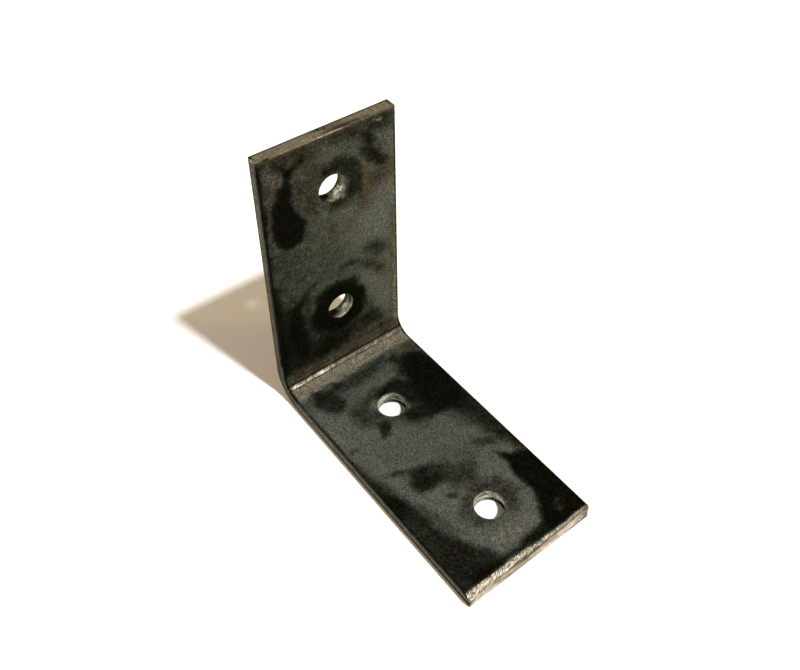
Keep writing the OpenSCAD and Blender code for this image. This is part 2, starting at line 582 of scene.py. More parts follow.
# Marks on the face that ends inside the fold. Each is a path of (along, across, half width) in
# millimetres, the softness of its edge in millimetres, and its strength.
BLACK_MARKS = (
    # Base leg: mottled strip next to the fold
    (((6.2, -14.6, 1.6), (9, -13.6, 3.3), (12.2, -12.4, 3.0), (13.6, -13, 1.6)), 1.2, 0.74),
    (((7, -8, 1.8), (8, -3, 1.8), (7, 3, 1.6), (6.5, 8, 1.4)), 1.6, 0.5),
    (((8, -19, 2), (8, 18, 3)), 2.6, 0.28),
    (((9.5, -7, 2.4), (13, -6, 2.0)), 2.2, 0.18),
    (((13, 0, 2), (12, 6, 1.6)), 2.4, 0.08),
    (((14, 9.2, 1.4), (11, 10.6, 1.4), (8.6, 11, 1.2)), 1.4, 0.66),
    # Base leg: black from the fold to the middle, along the right edge
    (((10.6, 13, 1.6), (11.5, 14, 2.6), (13.4, 15, 4.8), (19, 15.5, 6.2)), 1.3, 0.97),
    (((19, 15.5, 6.2), (24.5, 14.8, 7.0), (27.5, 14.2, 5.8)), 1.8, 0.93),
    (((28, 14.6, 4), (32, 17, 4.2), (36, 18.6, 4.6), (44, 20.2, 4.8), (51, 20.5, 3.6)), 2.4, 0.8),
    (((44, 15, 1), (49, 15.4, 1.4)), 2, 0.3),
    # Base leg: round the inner hole
    (((17.5, -0.5, 1.2), (16.2, 2, 2.0), (17, 5.5, 2.8), (22, 8, 4)), 1.3, 0.88),
    (((15, -1, 1.4), (16, -4, 1.6)), 1.4, 0.5),
    (((27.5, 2.2, 2.4), (28.5, 6, 3.2), (29, 10, 3.6)), 1.4, 0.85),
    (((27.8, -1.5, 1.4), (31, 2.5, 1.8), (33, 4, 1.2)), 1.8, 0.22),
    (((17, -8, 2.6), (21, -8, 3.4), (23.5, -5.5, 3)), 1.8, 0.46),
    (((26.2, -5.4, 1.6), (28, -6.7, 1.4), (29, -7.9, 0.7)), 0.9, 0.78),
    (((28.2, -17.2, 0.9), (28.2, -16.4, 0.6)), 0.8, 0.35),
    # Base leg: black along the left edge, widening to the cut end
    (((28, -21.5, 1.4), (34, -21, 2.0), (40, -21, 3.6), (48, -21, 5.4)), 2.0, 0.74),
    (((48, -21, 5.4), (58, -21, 6.2), (65, -20, 6.5), (69, -18.6, 7.5), (75, -15, 7.8)), 1.3, 0.78),
    (((71, -17, 5), (75, -14, 4)), 2.4, 0.18),
    (((52, -14.4, 1.4), (58, -13.4, 1.8), (62, -13, 2)), 1.6, 0.36),
    (((75.6, -16, 1.2), (75.6, -8, 0.8), (76, -2, 0.8), (75.8, 2, 1.5), (75.6, 9, 2.0)), 1.1, 0.9),
    # Base leg: black at the right of the cut end
    (((51.6, 12.0, 0.4), (54.8, 13.8, 1.2), (57.6, 15.4, 3.1), (60.4, 17.2, 5.4)), 1.0, 1),
    (((60.4, 17.2, 5.4), (66, 17.6, 6.0), (71, 17, 6.4), (75, 14.8, 7.1)), 1.2, 1),
    (((53, 12.8, 0.8), (57, 13.2, 0.8)), 1.4, 0.3),
    # Base leg: patches between the holes
    (((44, -7, 2.2), (46.2, -9.2, 2.7), (47.6, -7.6, 2.2), (48.2, -5, 1.6)), 1.4, 0.84),
    (((46.5, -3, 2.6), (49.5, 0, 3.2), (51.5, 2, 2.2), (50.5, 4.6, 1.2)), 2.0, 0.58),
    (((44, 1, 2), (47, 6, 2)), 2.4, 0.2),
    (((53, -2.5, 1.6), (54, 2, 1.6)), 1.8, 0.36),
    (((39.6, -15, 0.5), (41.2, -12, 0.8), (42.4, -9.5, 0.9)), 0.9, 0.5),
    (((53.7, -6, 0.5), (55, -4.6, 0.6)), 0.7, 0.7),
    (((45.5, 10.5, 1.2), (47.5, 13, 1.5)), 1.6, 0.42),
    (((35, 12, 2.0), (38, 13.5, 2.2)), 2.2, 0.42),
    (((35, -9, 5), (36, 5, 5), (45, 8, 5)), 4.0, 0.09),
    # Base leg: round the outer hole
    (((57, 1, 1.8), (58.5, 5.5, 2.4), (62, 7, 2.4), (65.6, 5.4, 1.8)), 1.5, 0.42),
    (((56.6, 4.6, 1.2), (57.4, 7, 1.2)), 1.4, 0.3),
    (((57.5, -3, 1.4), (61, -6, 2), (64.6, -4.8, 1.6), (65.8, -3, 0.8)), 1.6, 0.3),
    (((63.4, 8, 0.2), (63.6, 11, 0.3)), 0.5, 0.5),
    (((43.4, -3.4, 0.6), (45.6, -2.4, 0.8)), 1.2, 0.3),
    # Next to the crease, on the upright leg's side
    (((-3.4, -20, 1.2), (-3.0, 0, 1.0), (-3.2, 20, 0.8)), 1.6, 0.12),
    (((-3.4, 9, 0.9), (-3.2, 20, 1.0)), 1.6, 0.25),
    (((-1.4, -20, 0.5), (-1.2, 20, 0.5)), 0.8, 0.35),
    (((-2.5, 13.5, 0.4), (-4.2, 13.2, 0.5)), 0.7, 0.7),
    # Upright leg: painted shade that darkens its left side and fades to the right, and two soft dark
    # patches
    (((-80, -20, 18), (-36, -20, 20), (-20, -20, 12)), 16, 0.46),
    (((-78, 10, 6), (-70, 12, 4)), 7, 0.4),
    (((-36, 0, 3), (-31, 4, 3), (-33, 12, 4)), 4, 0.22),
    # Upright leg: the foot
    (((-8, -17, 4.4), (-8, -6, 4), (-8, 4, 3.8), (-9, 10, 3)), 2.2, 0.66),
    (((-7, -20, 2.4), (-7, 0, 2.4)), 2, 0.55),
    (((-6, -7, 2), (-8, -3.5, 1.5)), 1.6, 0.5),
    (((-8.5, 9, 1), (-7, 13, 1.6)), 1.6, 0.35),
    # Upright leg: ring of oil round the lower hole
    (((-19.6, -0.8, 8.5), (-19.2, 0.2, 8.3)), 1.3, 1),
    (((-26.5, -6, 1.6), (-27.8, -2, 1.6), (-26.8, 4.6, 1.7)), 1.3, 0.85),
    (((-15, 3, 7), (-14, 6, 5)), 3, 0.42),
    (((-16, -4, 6), (-17, -6, 4)), 2, 0.55),
    # Upright leg: long stain at its left
    (((-29, -11.6, 1.0), (-27, -13.5, 1.8), (-22, -14.5, 2.7), (-16, -14.3, 2.8)), 1.4, 0.97),
    (((-16, -14.3, 2.8), (-12, -13, 2.4), (-8.5, -12.4, 1.6)), 1.6, 0.92),
    (((-37, -20.5, 1.6), (-28, -20.5, 2.8), (-15, -20.5, 3), (-5, -20.5, 2.4)), 1.3, 0.9),
    (((-28, -18, 2), (-12, -18, 3)), 2, 0.6),
    (((-31, -10, 1), (-22, -10.4, 1.6), (-12, -9.6, 1.8)), 2, 0.5),
    # Upright leg: arc to the right of the lower hole
    (((-34, 1.6, 0.6), (-33.4, 4.5, 0.8), (-32.6, 6.5, 0.7)), 0.9, 0.66),
    (((-31.5, 8.5, 0.7), (-29, 11, 1.0), (-26.5, 13.6, 1.2)), 1.6, 0.5),
    (((-36.3, 10, 1.4), (-33.5, 14.5, 1.9)), 1.8, 0.6),
    (((-32, -7.8, 0.45), (-31.8, -7.4, 0.45)), 0.5, 0.9),
    # Upright leg: drop at its upper left, with a forked stem
    (((-74, -15.5, 0.5), (-72.4, -13.2, 0.7), (-71, -12.2, 1.0)), 0.7, 0.8),
    (((-74, -7.5, 0.5), (-72, -9.5, 0.8), (-71, -11.5, 1.1)), 0.9, 0.6),
    (((-71, -11.8, 1.1), (-69, -12.8, 1.1), (-66, -13.2, 2.0)), 0.8, 0.92),
    (
        ((-66, -13.6, 1.7), (-63, -14.8, 2.6), (-58.4, -14.4, 3.5), (-54, -13.3, 4.4),
         (-51.4, -12.4, 3.2)),
        0.9,
        1,
    ),
    # Upright leg: halo of the upper hole
    (((-67, -0.5, 1.8), (-67.2, 3.5, 2.2), (-64.5, 6, 2.4), (-61, 7, 2.3), (-58, 6.4, 2.0)), 1.4, 0.72),
    (((-55.6, 0, 1.0), (-55.4, 2.5, 0.8)), 0.8, 0.5),
    (((-57, 3, 2), (-56, 7, 2)), 2, 0.3),
    # Upright leg: its upper right
    (((-73, 9.6, 0.9), (-71, 11.6, 1.5)), 0.9, 0.8),
    (((-68, 10.4, 1.6), (-65.6, 12.6, 2.0), (-62.6, 16, 1.2)), 1.2, 0.74),
    (((-76.2, 14, 0.7), (-75.6, 17.5, 0.9)), 0.8, 0.6),
    (((-77.2, -19, 0.6), (-76.8, -10, 0.5), (-76.8, 6, 0.7), (-77, 18, 0.9)), 0.8, 0.4),
    (((-75, 1, 1.6), (-74.4, 7, 1.6)), 1.6, 0.22),
    (((-74, 13, 1.2), (-73.4, 19, 1.6)), 1.6, 0.4),
    (((-59.6, 13.4, 1.8), (-57.4, 14.4, 1.6)), 1.6, 0.35),
    (((-56.6, 4.4, 1.2), (-54.6, 7.4, 1.2)), 1.4, 0.3),
    (((-76, -20.6, 1.2), (-66, -20.6, 1.5), (-50, -20.6, 1.2), (-44, -20.5, 1.0)), 1.0, 0.7),
)
BROWN_MARKS = (
    (((-2.8, -20, 2.2), (-2.2, 20, 2.2)), 1.6, 0.75),
    (((0.3, -4, 0.6), (0.3, 20, 0.5)), 0.5, 0.38),
    (((0.5, -20.4, 1.2), (3.4, -20.4, 1.2)), 0.8, 0.7),
    (((3, -20, 2.2), (3, 20, 2.2)), 1.2, 0.3),
    (((25.6, -2.2, 0.9), (26.6, 0.4, 0.7)), 0.8, 0.9),
    (((8, 17.5, 1.6), (5, 17.5, 2)), 1.6, 0.6),
    (((52.5, 18.2, 1.6), (50, 18.6, 1.2)), 1.4, 0.9),
    (((62, 0.5, 6.2), (62.4, 0.8, 6.2)), 1.8, 0.45),
    (((-10, -18, 4), (-6, 0, 3), (-6, 16, 4)), 3.0, 0.35),
    (((-45, 19, 1.4), (-5, 18.6, 1.8)), 1.4, 0.7),
    (((-60, 9, 3.4), (-55, 11.5, 2.6), (-52, 9.5, 2.4)), 2.4, 0.8),
    (((-62, 16, 3), (-57.5, 17, 2.4)), 2.2, 0.8),
    (((-66.5, -2, 1.8), (-64.5, -3.6, 1.2)), 1.4, 0.9),
    (((-56, 0, 2.2), (-54.5, 3.5, 1.8)), 1.4, 0.95),
    (((-69, -6, 3), (-63, -8, 3), (-58, -6.5, 2.2)), 2.4, 0.6),
    (((-73, -15, 2.4), (-68.5, -16.5, 2.4)), 2.0, 0.6),
    (((-74.5, -12, 1.6), (-74, -4, 1.6)), 1.6, 0.6),
    (((-75, 2, 1.6), (-74.4, 16, 1.8)), 1.6, 0.5),
    (((-71, -11.5, 1.6), (-73, -8.5, 1.2)), 1.0, 0.9),
    (((-76, -18, 1.4), (-76, 0, 1.4), (-75.8, 18, 2.0)), 1.4, 0.75),
    (((-30, 11, 1.8), (-26.5, 14, 2.2), (-23.5, 15.5, 1.2)), 1.8, 0.75),
    (((-70.5, 11.5, 1.6), (-66, 14.5, 2)), 1.6, 0.6),
    (((-48, 0, 3), (-46.5, 4, 2)), 2.4, 0.35),
    (((-37, -19.5, 1.6), (-28, -18.8, 1.2)), 1.6, 0.8),
)
PALE_MARKS = (
    (((2.9, -20, 2.0), (2.9, -6, 2.0), (2.9, 4, 1.8), (3.0, 20, 2.1)), 0.6, 0.84),
    (((0.3, -20, 0.6), (0.3, -8, 0.5), (0.3, -4, 0.2)), 0.6, 0.8),
    (((4.8, -7, 0.8), (5.0, -4.6, 0.7)), 0.7, 0.6),
    (((4.8, -1.6, 0.5), (5.0, 0, 0.4)), 0.7, 0.5),
    (((4.9, 4.6, 0.6), (5.0, 7.4, 0.5)), 0.7, 0.55),
    (((4.8, -19, 0.7), (5.0, -16.4, 0.5)), 0.7, 0.5),
    (((18, -20, 1.2), (30, -20, 0.8)), 1.6, 0.2),
    (((71, -4, 2.2), (71, 3, 2.2)), 2.2, 0.22),
    (((72.2, 14.7, 0.7), (74, 13.7, 0.8)), 1.2, 0.2),
    (((-52, 19.4, 0.5), (-30, 19.2, 0.6), (-14, 18.8, 1.0), (-4, 18.6, 1.2)), 0.7, 0.6),
    (((-46, 9, 5), (-42, 13, 4)), 4.0, 0.05),
    (((-74, -17.4, 0.8), (-64, -17.4, 0.8)), 0.9, 0.2),
    (((-71.5, -16.2, 1.6), (-69.5, -15.4, 1.2)), 1.4, 0.35),
    (((-75.9, 13.6, 0.4), (-75.6, 15.6, 0.5)), 0.5, 0.9),
    (((-57.6, 2.6, 0.35), (-56.4, 3.2, 0.3)), 0.4, 0.8),
    (((-56.9, -2.2, 0.12), (-56.5, 0.4, 0.18), (-57.2, 2.4, 0.2)), 0.3, 0.5),
)

# Marks on the walls of the holes. Each path is of (round, depth, half width) in millimetres. Round
# is the arc from the side of the hole nearest the base leg's cut end, towards the bar's right edge.
# These marks are partly painted light: the pale on walls that face the lamp is painted highlight, the
# upright leg's two holes share nearly one pattern of painted light and shade, and the black crescent
# low in the base leg's holes is painted shade where the plate meets the floor. The thin rings at one
# depth are drill marks.
UPPER_BORE = {
    "black": (
        (((-5, 2.2, 1.8), (-2.4, 2.5, 1.5), (-0.6, 3.0, 0.9)), 0.45, 0.97),
        (((-1, 3.75, 0.3), (2, 3.7, 0.35), (8, 3.6, 0.5)), 0.35, 0.75),
        (((5.6, 1.2, 0.4), (9, 1.8, 1.0)), 0.8, 0.45),
        (((-6, 0.3, 0.6), (-3, 0.4, 0.5), (-1.4, 0.2, 0.3)), 0.4, 0.95),
    ),
    "brown": (
        (((-2, 1.8, 1.2), (0.2, 2.0, 0.8), (1.4, 3.0, 0.5)), 0.5, 0.8),
        (((4.6, 2.8, 0.5), (8, 2.6, 0.8)), 0.6, 0.6),
        (((2.4, 0.2, 0.2), (8, 0.2, 0.3)), 0.3, 0.6),
    ),
    "pale": (
        (((1.0, 1.4, 0.3), (2.4, 2.4, 0.5), (3.2, 2.0, 0.6), (4.0, 1.5, 0.5)), 0.5, 1.0),
        (((-0.8, 0.5, 0.1), (1.6, 0.35, 0.2)), 0.2, 0.8),
    ),
}
LOWER_BORE = {
    "black": (
        (((-5, 2.2, 1.8), (-2.4, 2.5, 1.5), (-0.4, 3.0, 0.9)), 0.45, 0.97),
        (((-1, 3.75, 0.3), (2, 3.7, 0.35), (8, 3.6, 0.5)), 0.35, 0.75),
        (((4.8, 1.2, 0.5), (6.4, 1.6, 0.8), (9, 1.8, 1.0)), 0.8, 0.6),
        (((-6, 0.3, 0.6), (-3, 0.4, 0.5), (-1.4, 0.2, 0.3)), 0.4, 0.95),
        (((1.8, 0.6, 0.15), (2.6, 1.0, 0.1)), 0.3, 0.6),
        (((3.6, 2.9, 0.2), (4.4, 2.3, 0.1)), 0.3, 0.7),
    ),
    "brown": (
        (((-2, 1.8, 1.2), (0.4, 2.1, 0.9), (1.6, 3.0, 0.5)), 0.5, 0.85),
        (((4.6, 2.8, 0.5), (8, 2.6, 0.8)), 0.6, 0.6),
    ),
    "pale": (
        (((2.0, 2.4, 0.3), (3.0, 1.8, 0.4)), 0.5, 0.6),
        (((-0.8, 0.5, 0.1), (1.6, 0.35, 0.2)), 0.2, 0.8),
    ),
}
INNER_BORE = {
    "black": (
        (((14.5, 2.9, 0.1), (11, 3.0, 0.15), (8.5, 3.0, 0.2)), 0.25, 0.8),
        (((11, 3.9, 0.1), (8, 3.6, 0.4), (5.6, 3.2, 0.8), (4, 3.0, 0.7), (2.4, 3.1, 0.3)), 0.3, 1),
        (((14.5, 0.85, 0.06), (10, 0.9, 0.08)), 0.14, 0.6),
        (((5, 0.8, 0.8), (8, 1.4, 0.8), (10, 1.4, 0.6)), 0.9, 0.35),
    ),
    "brown": (
        (((9.5, 3.3, 0.3), (5, 3.6, 0.5)), 0.4, 0.8),
        (((9.4, 1.2, 0.4), (8, 1.8, 0.4)), 0.6, 0.5),
    ),
    "pale": (
        (((15.2, 1.8, 0.9), (13, 1.8, 0.9), (11.6, 1.4, 0.5)), 0.7, 1.0),
        (((15.2, 3.5, 0.2), (12.4, 3.5, 0.2)), 0.2, 0.6),
        (((7.4, 1.0, 0.3), (6.2, 1.6, 0.3)), 0.4, 0.6),
    ),
}
OUTER_BORE = {
    "black": (
        (((14.5, 1.5, 0.06), (11, 1.5, 0.08), (8.6, 1.2, 0.08)), 0.2, 0.7),
        (((12.5, 3.1, 0.1), (9.6, 3.2, 0.25), (8, 3.1, 0.2)), 0.25, 0.7),
        (((9, 3.9, 0.1), (7, 3.6, 0.5), (5, 3.2, 1.0), (3.6, 3.2, 0.7), (2.4, 3.4, 0.3)), 0.3, 1),
    ),
    "brown": (
        (((10.2, 3.2, 0.3), (8.4, 3.0, 0.4)), 0.4, 0.8),
        (((7, 0.6, 0.2), (5, 0.6, 0.3)), 0.4, 0.6),
    ),
    "pale": (
        (((15.2, 2.2, 0.8), (12, 2.2, 0.7), (9.4, 2.0, 0.6)), 0.6, 1.0),
        (((15, 0.7, 0.4), (10, 0.7, 0.4)), 0.3, 1.0),
        (((8, 1.8, 0.5), (6.4, 1.8, 0.7), (5, 1.4, 0.5)), 0.6, 0.9),
    ),
}

# Marks on the bar's two sides. Each path is of (along, depth, half width) in millimetres.
SIDE_MARKS = {
    "black": (
        (((-78, 0, 0.75), (-8, 0, 0.75)), 0.5, 0.85),
        (((2, 0, 0.2), (30, 0, 0.5), (80, 0, 0.9)), 0.6, 0.6),
        (((-30, 3.0, 0.2), (-6, 2.8, 0.3), (24, 2.8, 0.2)), 0.4, 0.15),
        (((-44, 0.9, 0.3), (-8, 1.0, 0.3)), 0.4, 0.45),
        (((24, 2.85, 0.3), (80, 2.85, 0.4)), 0.35, 0.62),
        (((-78, 4.1, 0.5), (80, 4.1, 0.5)), 0.4, 0.45),
    ),
    "brown": (
        (((-78, 3.4, 0.4), (80, 3.4, 0.5)), 0.5, 0.75),
        (((-40, 2.4, 0.6), (6, 2.0, 0.8)), 0.8, 0.5),
    ),
    "pale": (
        (((-78, 2.3, 0.7), (-52, 2.2, 0.7)), 0.5, 0.85),
        (((-62, 2.5, 0.6), (-34, 2.5, 0.5), (-10, 2.0, 0.4)), 0.5, 0.7),
        (((4, 1.8, 0.9), (36, 1.9, 0.6), (80, 1.8, 0.3)), 0.5, 0.7),
        (((4, 1.8, 1.0), (22, 1.9, 0.7)), 0.5, 0.4),
    ),
}

# Marks on the base leg's ground bevel and cut face. Each path is of (across, below, half width) in
# millimetres, where below is measured from the edge at which the bevel meets the cut face.
END_MARKS = {
    "black": (
        (((10, 3.3, 0.05), (14, 3.2, 0.35), (20, 2.9, 0.6)), 0.25, 1),
        (((-12, 3.4, 0.1), (-5, 3.2, 0.2), (2, 3.4, 0.1)), 0.25, 0.5),
        (((-19.4, -1.9, 0.1), (-18.4, -2.3, 0.1), (-17.2, -2.2, 0.1)), 0.2, 0.8),
        (((-18.6, -1.2, 0.1), (-17.9, -0.9, 0.2)), 0.2, 0.7),
    ),
    "brown": (
        (((-17, -0.2, 0.02), (-9, -0.15, 0.1), (-3, 0.1, 0.45), (2, 0.1, 0.4)), 0.35, 0.85),
        (((17, 0.4, 0.5), (19.5, 1.2, 0.9)), 0.6, 0.5),
        (((2, 0.1, 0.35), (8, -0.3, 0.2), (14, -0.45, 0.2), (20, -0.4, 0.4)), 0.35, 0.62),
        (((-13, 0.9, 0.15), (-8, 1.3, 0.2), (-1, 1.0, 0.2)), 0.3, 0.6),
        (((-9, 2.2, 0.2), (-3, 2.5, 0.3), (3, 2.3, 0.1)), 0.3, 0.65),
        (((3, 0.9, 0.1), (6, 1.2, 0.2), (8, 1.0, 0.1)), 0.25, 0.6),
        (((-20, 0.9, 0.5), (-18.4, 1.0, 0.3)), 0.4, 0.6),
        (((16, -0.9, 0.3), (20, -0.6, 0.8)), 0.6, 0.2),
    ),
    "pale": (
        (((-17, -0.95, 0.4), (-8, -1.0, 0.4), (-3, -0.9, 0.2)), 0.4, 0.12),
        (((5, -0.6, 0.3), (12, -0.7, 0.3), (18.6, -0.6, 0.3)), 0.4, 0.45),
        (((-18, 2.7, 0.6), (-12, 2.6, 0.3)), 0.6, 0.7),
        (((-2, 2.6, 0.4), (10, 2.0, 0.6), (14, 1.6, 0.6)), 0.6, 0.3),
        (((9, 0.6, 0.4), (14, 0.6, 0.4)), 0.4, 0.35),
    ),
}

# Marks on the upright leg's sawn end. Each path is of (across, depth, half width) in millimetres.
TOP_MARKS = {
    "black": (
        (((-18.2, 0.2, 0.2), (-16.6, 0.2, 0.3)), 0.3, 0.9),
        (((-1.6, 3.0, 0.2), (0.4, 2.6, 0.25)), 0.35, 0.8),
        (((2, 0.7, 0.15), (4.6, 0.8, 0.3), (6, 0.6, 0.2)), 0.4, 0.7),
        (((-20, 3.8, 0.4), (20, 3.8, 0.4)), 0.3, 0.97),
    ),
    "brown": (
        (((-1, 1.2, 0.3), (3.5, 1.3, 0.8), (8, 0.9, 0.6), (12, 0.6, 0.3)), 0.6, 0.9),
        (((-3, 2.9, 0.2), (2, 2.6, 0.4), (5, 2.9, 0.2)), 0.5, 0.6),
        (((-20, 0.1, 0.3), (-14, 0.1, 0.2)), 0.4, 0.6),
        (((12, 0.3, 0.2), (20, 0.3, 0.3)), 0.4, 0.5),
        (((19.2, 0, 0.3), (19.4, 4, 0.4)), 0.4, 0.6),
    ),
    "pale": (
        (((-8, 1.4, 0.5), (-5, 1.2, 0.5)), 0.6, 0.25),
    ),
}

# The parts of the base leg's end where the scale reaches further onto the bevel, and the parts of
# the upright leg's top edge where a highlight is painted in bright steel. Each path is of (across, 0,
# half width).
SCALE_LEFT = (
    (((1.5, 0, 1.5), (12, 0, 1.5)), 2.0, 0.95),
    (((-19, 0, 1.5), (-13, 0, 1.5)), 2.0, 0.4),
)
TOP_GLINT = (
    (((-3.3, 0, 0.2), (3.6, 0, 0.2)), 0.4, 0.95),
    (((-2.9, 0, 0.3), (-2.1, 0, 0.3)), 0.4, 1.0),
    (((-0.3, 0, 0.2), (1.0, 0, 0.2)), 0.4, 1.0),
    (((2.9, 0, 0.2), (3.6, 0, 0.2)), 0.4, 1.0),
)


# Nearer to a face than this, a point is stained as part of the face
FACE_DEPTH = 0.35 * MM
# Nearer to a cut end than this, a point lies on it
TINY = 0.03 * MM


def brushed(marks, along, across):
    """How strongly a set of marks covers each point, from 0 to 1."""
    cover = np.zeros_like(along)
    for path, soft, strength in marks:
        gap = np.full_like(along, 100.0)
        for start, end in zip(path, path[1:]):
            step = np.subtract(end, start)
            length = max(step[0] ** 2 + step[1] ** 2, 0.0001)
            share = ((along - start[0]) * step[0] + (across - start[1]) * step[1]) / length
            share = np.clip(share, 0, 1)
            off_path = np.hypot(
                along - start[0] - share * step[0], across - start[1] - share * step[1]
            )
            gap = np.minimum(gap, off_path - start[2] - share * step[2])
        inside = np.clip(0.5 - gap / (2 * soft), 0, 1)
        inside = inside * inside * (3 - 2 * inside) * strength
        cover += inside * (1 - cover)
    return cover


def edge_drift(mesh):
    """A random drift of each point, in millimetres, which makes the edges of the marks wander."""
    # Without a seed, this noise differs each time Blender is started
    noise.seed_set(5)
    drift = []
    for point in mesh.vertices:
        place_mm = point.co / MM
        coarse = noise.noise_vector(place_mm / 4.5)
        fine = noise.noise_vector(place_mm / 1.6 + Vector((40, 0, 0)))
        drift.append(coarse * 0.7 + fine * 0.45)
    return np.array(drift)


def inside_stains(flat, along, across, drift):
    """Black, brown and pale on the face that ends inside the fold, black along its rolled edges."""
    along_mm = along / MM + drift[:, 0]
    across_mm = across / MM + drift[:, 1]
    to_side = (flat.half_width - abs(across)) / MM
    rolled = np.clip((0.85 + 0.25 * drift[:, 2] - to_side) / 0.4, 0, 1)
    left_film = np.interp(along / MM, (2, 8, 22, 46), (0.92, 0.55, 0.6, 0.88))
    film = np.where(across < 0, left_film, 0.92)
    black = np.maximum(brushed(BLACK_MARKS, along_mm, across_mm), film * rolled)
    brown = brushed(BROWN_MARKS, along_mm, across_mm)
    pale = brushed(PALE_MARKS, along_mm, across_mm) * (1 - rolled)
    return black, brown, pale


def outside_stains(mesh, along, to_wall, drift):
    """Black, brown and pale on the outer face: patchy, dark round the holes, worn at the fold."""
    patchy = np.array([noise.fractal(point.co / (16 * MM), 0.8, 2.0, 4) for point in mesh.vertices])
    worn = np.clip(1.5 + 0.5 * drift[:, 2] - abs(along / MM + drift[:, 0]) / 4.2, 0, 1)
    halo = 0.65 * np.clip(1.7 - to_wall / (2.2 * MM) + 0.4 * drift[:, 2], 0, 1)
    black = np.maximum(np.clip(0.32 + 0.85 * patchy, 0, 0.9), halo)
    return black * (1 - 0.75 * worn), 0.3 + 0.3 * worn, 0.4 * worn


def top_glint(flat, along, across, depth):
    """How strongly a painted highlight of bright steel covers each point of the upright leg's top edge.
    """
    glint = np.clip(1.4 - abs(along - flat.top_end) / (0.22 * MM), 0, 1)
    glint = glint * np.clip(1.32 - depth / (0.6 * MM), 0, 1) * (depth < 0.45 * MM)
    return glint * brushed(TOP_GLINT, across / MM, np.zeros_like(across))


def stain(mesh, flat):
    """Stores how black, brown and pale the bar's points are, and how near they are to its cuts."""
    points = np.array([point.co for point in mesh.vertices])
    along, across, depth = points[:, 0], points[:, 1], -points[:, 2]
    drift = edge_drift(mesh)
    uneven = 0.25 * drift[:, 2]
    to_wall = hole_gap(flat, along, across)
    glint = top_glint(flat, along, across, depth)
    # Painted highlight: points under the top glint become bright bare steel, without black or brown
    glint_painted = glint > 0.2
    across_mm = across / MM + drift[:, 1]
    left_over = 0.35 * MM * brushed(SCALE_LEFT, across_mm, np.zeros_like(across))
    past_cut = cut_gap(flat, along, across, depth)
    past_cut = np.where(along > 0, past_cut - left_over, past_cut)
    past_cut = np.where(glint_painted, 0.5 * MM, past_cut)

    # The two faces, with their stains faded and browned where the cuts start
    inner = depth < FACE_DEPTH
    outer = depth > flat.thickness - FACE_DEPTH
    inside = inside_stains(flat, along, across, drift)
    outside = outside_stains(mesh, along, to_wall, drift)
    black = np.where(inner, inside[0], np.where(outer, outside[0], 0))
    brown, pale = (np.where(inner, inside[part], outside[part]) for part in (1, 2))
    fringe = np.clip(1 + past_cut / (0.9 * MM), 0, 1)
    # The pale layer also carries the painted highlight of the top glint
    layers = {
        "black": np.where(glint_painted, 0, black * (1 - 0.45 * fringe)),
        "brown": np.where(glint_painted, 0, np.maximum(brown, 0.7 * fringe)),
        "pale": np.maximum(pale, glint),
    }

    # The sides, the holes' walls and the two cut ends have marks of their own
    on_edge = flat.half_width - abs(across) < MM
    walls = (to_wall < 0.5 * flat.ends.hole_deburr) & ~on_edge
    on_top = (along < flat.top_end + TINY) & ~glint_painted
    on_end = (past_cut > -0.3 * MM) & (along > 0)
    around = around_hole(flat, along, across) / MM
    below = below_bevel(flat, along, across, depth) / MM
    regions = (
        (~inner & ~outer, SIDE_MARKS, along / MM + drift[:, 0], depth / MM + uneven),
        (walls & (along < -40 * MM), UPPER_BORE, around, depth / MM),
        (walls & (abs(along + 20 * MM) < 20 * MM), LOWER_BORE, around, depth / MM),
        (walls & (abs(along - 20 * MM) < 20 * MM), INNER_BORE, around, depth / MM),
        (walls & (along > 40 * MM), OUTER_BORE, around, depth / MM),
        (on_top, TOP_MARKS, across / MM, depth / MM + 0.3 * uneven),
        (on_end, END_MARKS, across / MM, below + 0.3 * drift[:, 2]),
    )
    for chosen, marks, first, second in regions:
        for name in layers:
            layers[name] = np.where(chosen, brushed(marks[name], first, second), layers[name])
    layers["hole_gap"] = to_wall / MM
    layers["cut_gap"] = past_cut / MM
    for name, value in layers.items():
        layer = mesh.attributes.new(name, "FLOAT", "POINT")
        layer.data.foreach_set("value", value.astype(np.float32))


def around_hole(flat, along, across):
    """How far round its hole each point lies, from the side that faces the base leg's cut end."""
    reach = np.array([np.hypot(along - hole[0], across - hole[1]) for hole in flat.holes])
    nearest = np.array(flat.holes)[np.argmin(reach, axis=0)]
    turn = np.arctan2(across - nearest[:, 1], along - nearest[:, 0])
    turn = np.where(turn < -math.pi / 2, turn + 2 * math.pi, turn)
    return turn * flat.hole_radius


def below_bevel(flat, along, across, depth):
    """Distance down the ground end from the edge where the bevel meets the cut face."""
    lip = (flat.base_end - flat.bevel_start(across)) * math.tan(flat.ends.bevel_slope)
    to_end = flat.base_end - along
    return np.where(to_end < TINY, depth - lip, -to_end)


def hole_gap(flat, along, across):
    """Distance from each point to the wall of the nearest hole."""
    gaps = [np.hypot(along - hole[0], across - hole[1]) for hole in flat.holes]
    return np.min(gaps, axis=0) - flat.hole_radius


def cut_gap(flat, along, across, depth):
    """How far past the line each point is where the scale was cut away; with scale, below zero."""
    ground = along - flat.bevel_start(across)
    below = depth - ground * math.tan(flat.ends.bevel_slope) > TINY
    ground = np.where(below & (ground > 0), -0.6 * MM, ground)
    sawn = flat.top_end + flat.ends.sawn_chamfer + 0.25 * MM - along
    cut = np.where(along > flat.base_end - TINY, 1.2 * MM, ground - 0.3 * MM)
    return np.where(along < 0, sawn, cut)


# ---------------------------------------------------------------- the fold

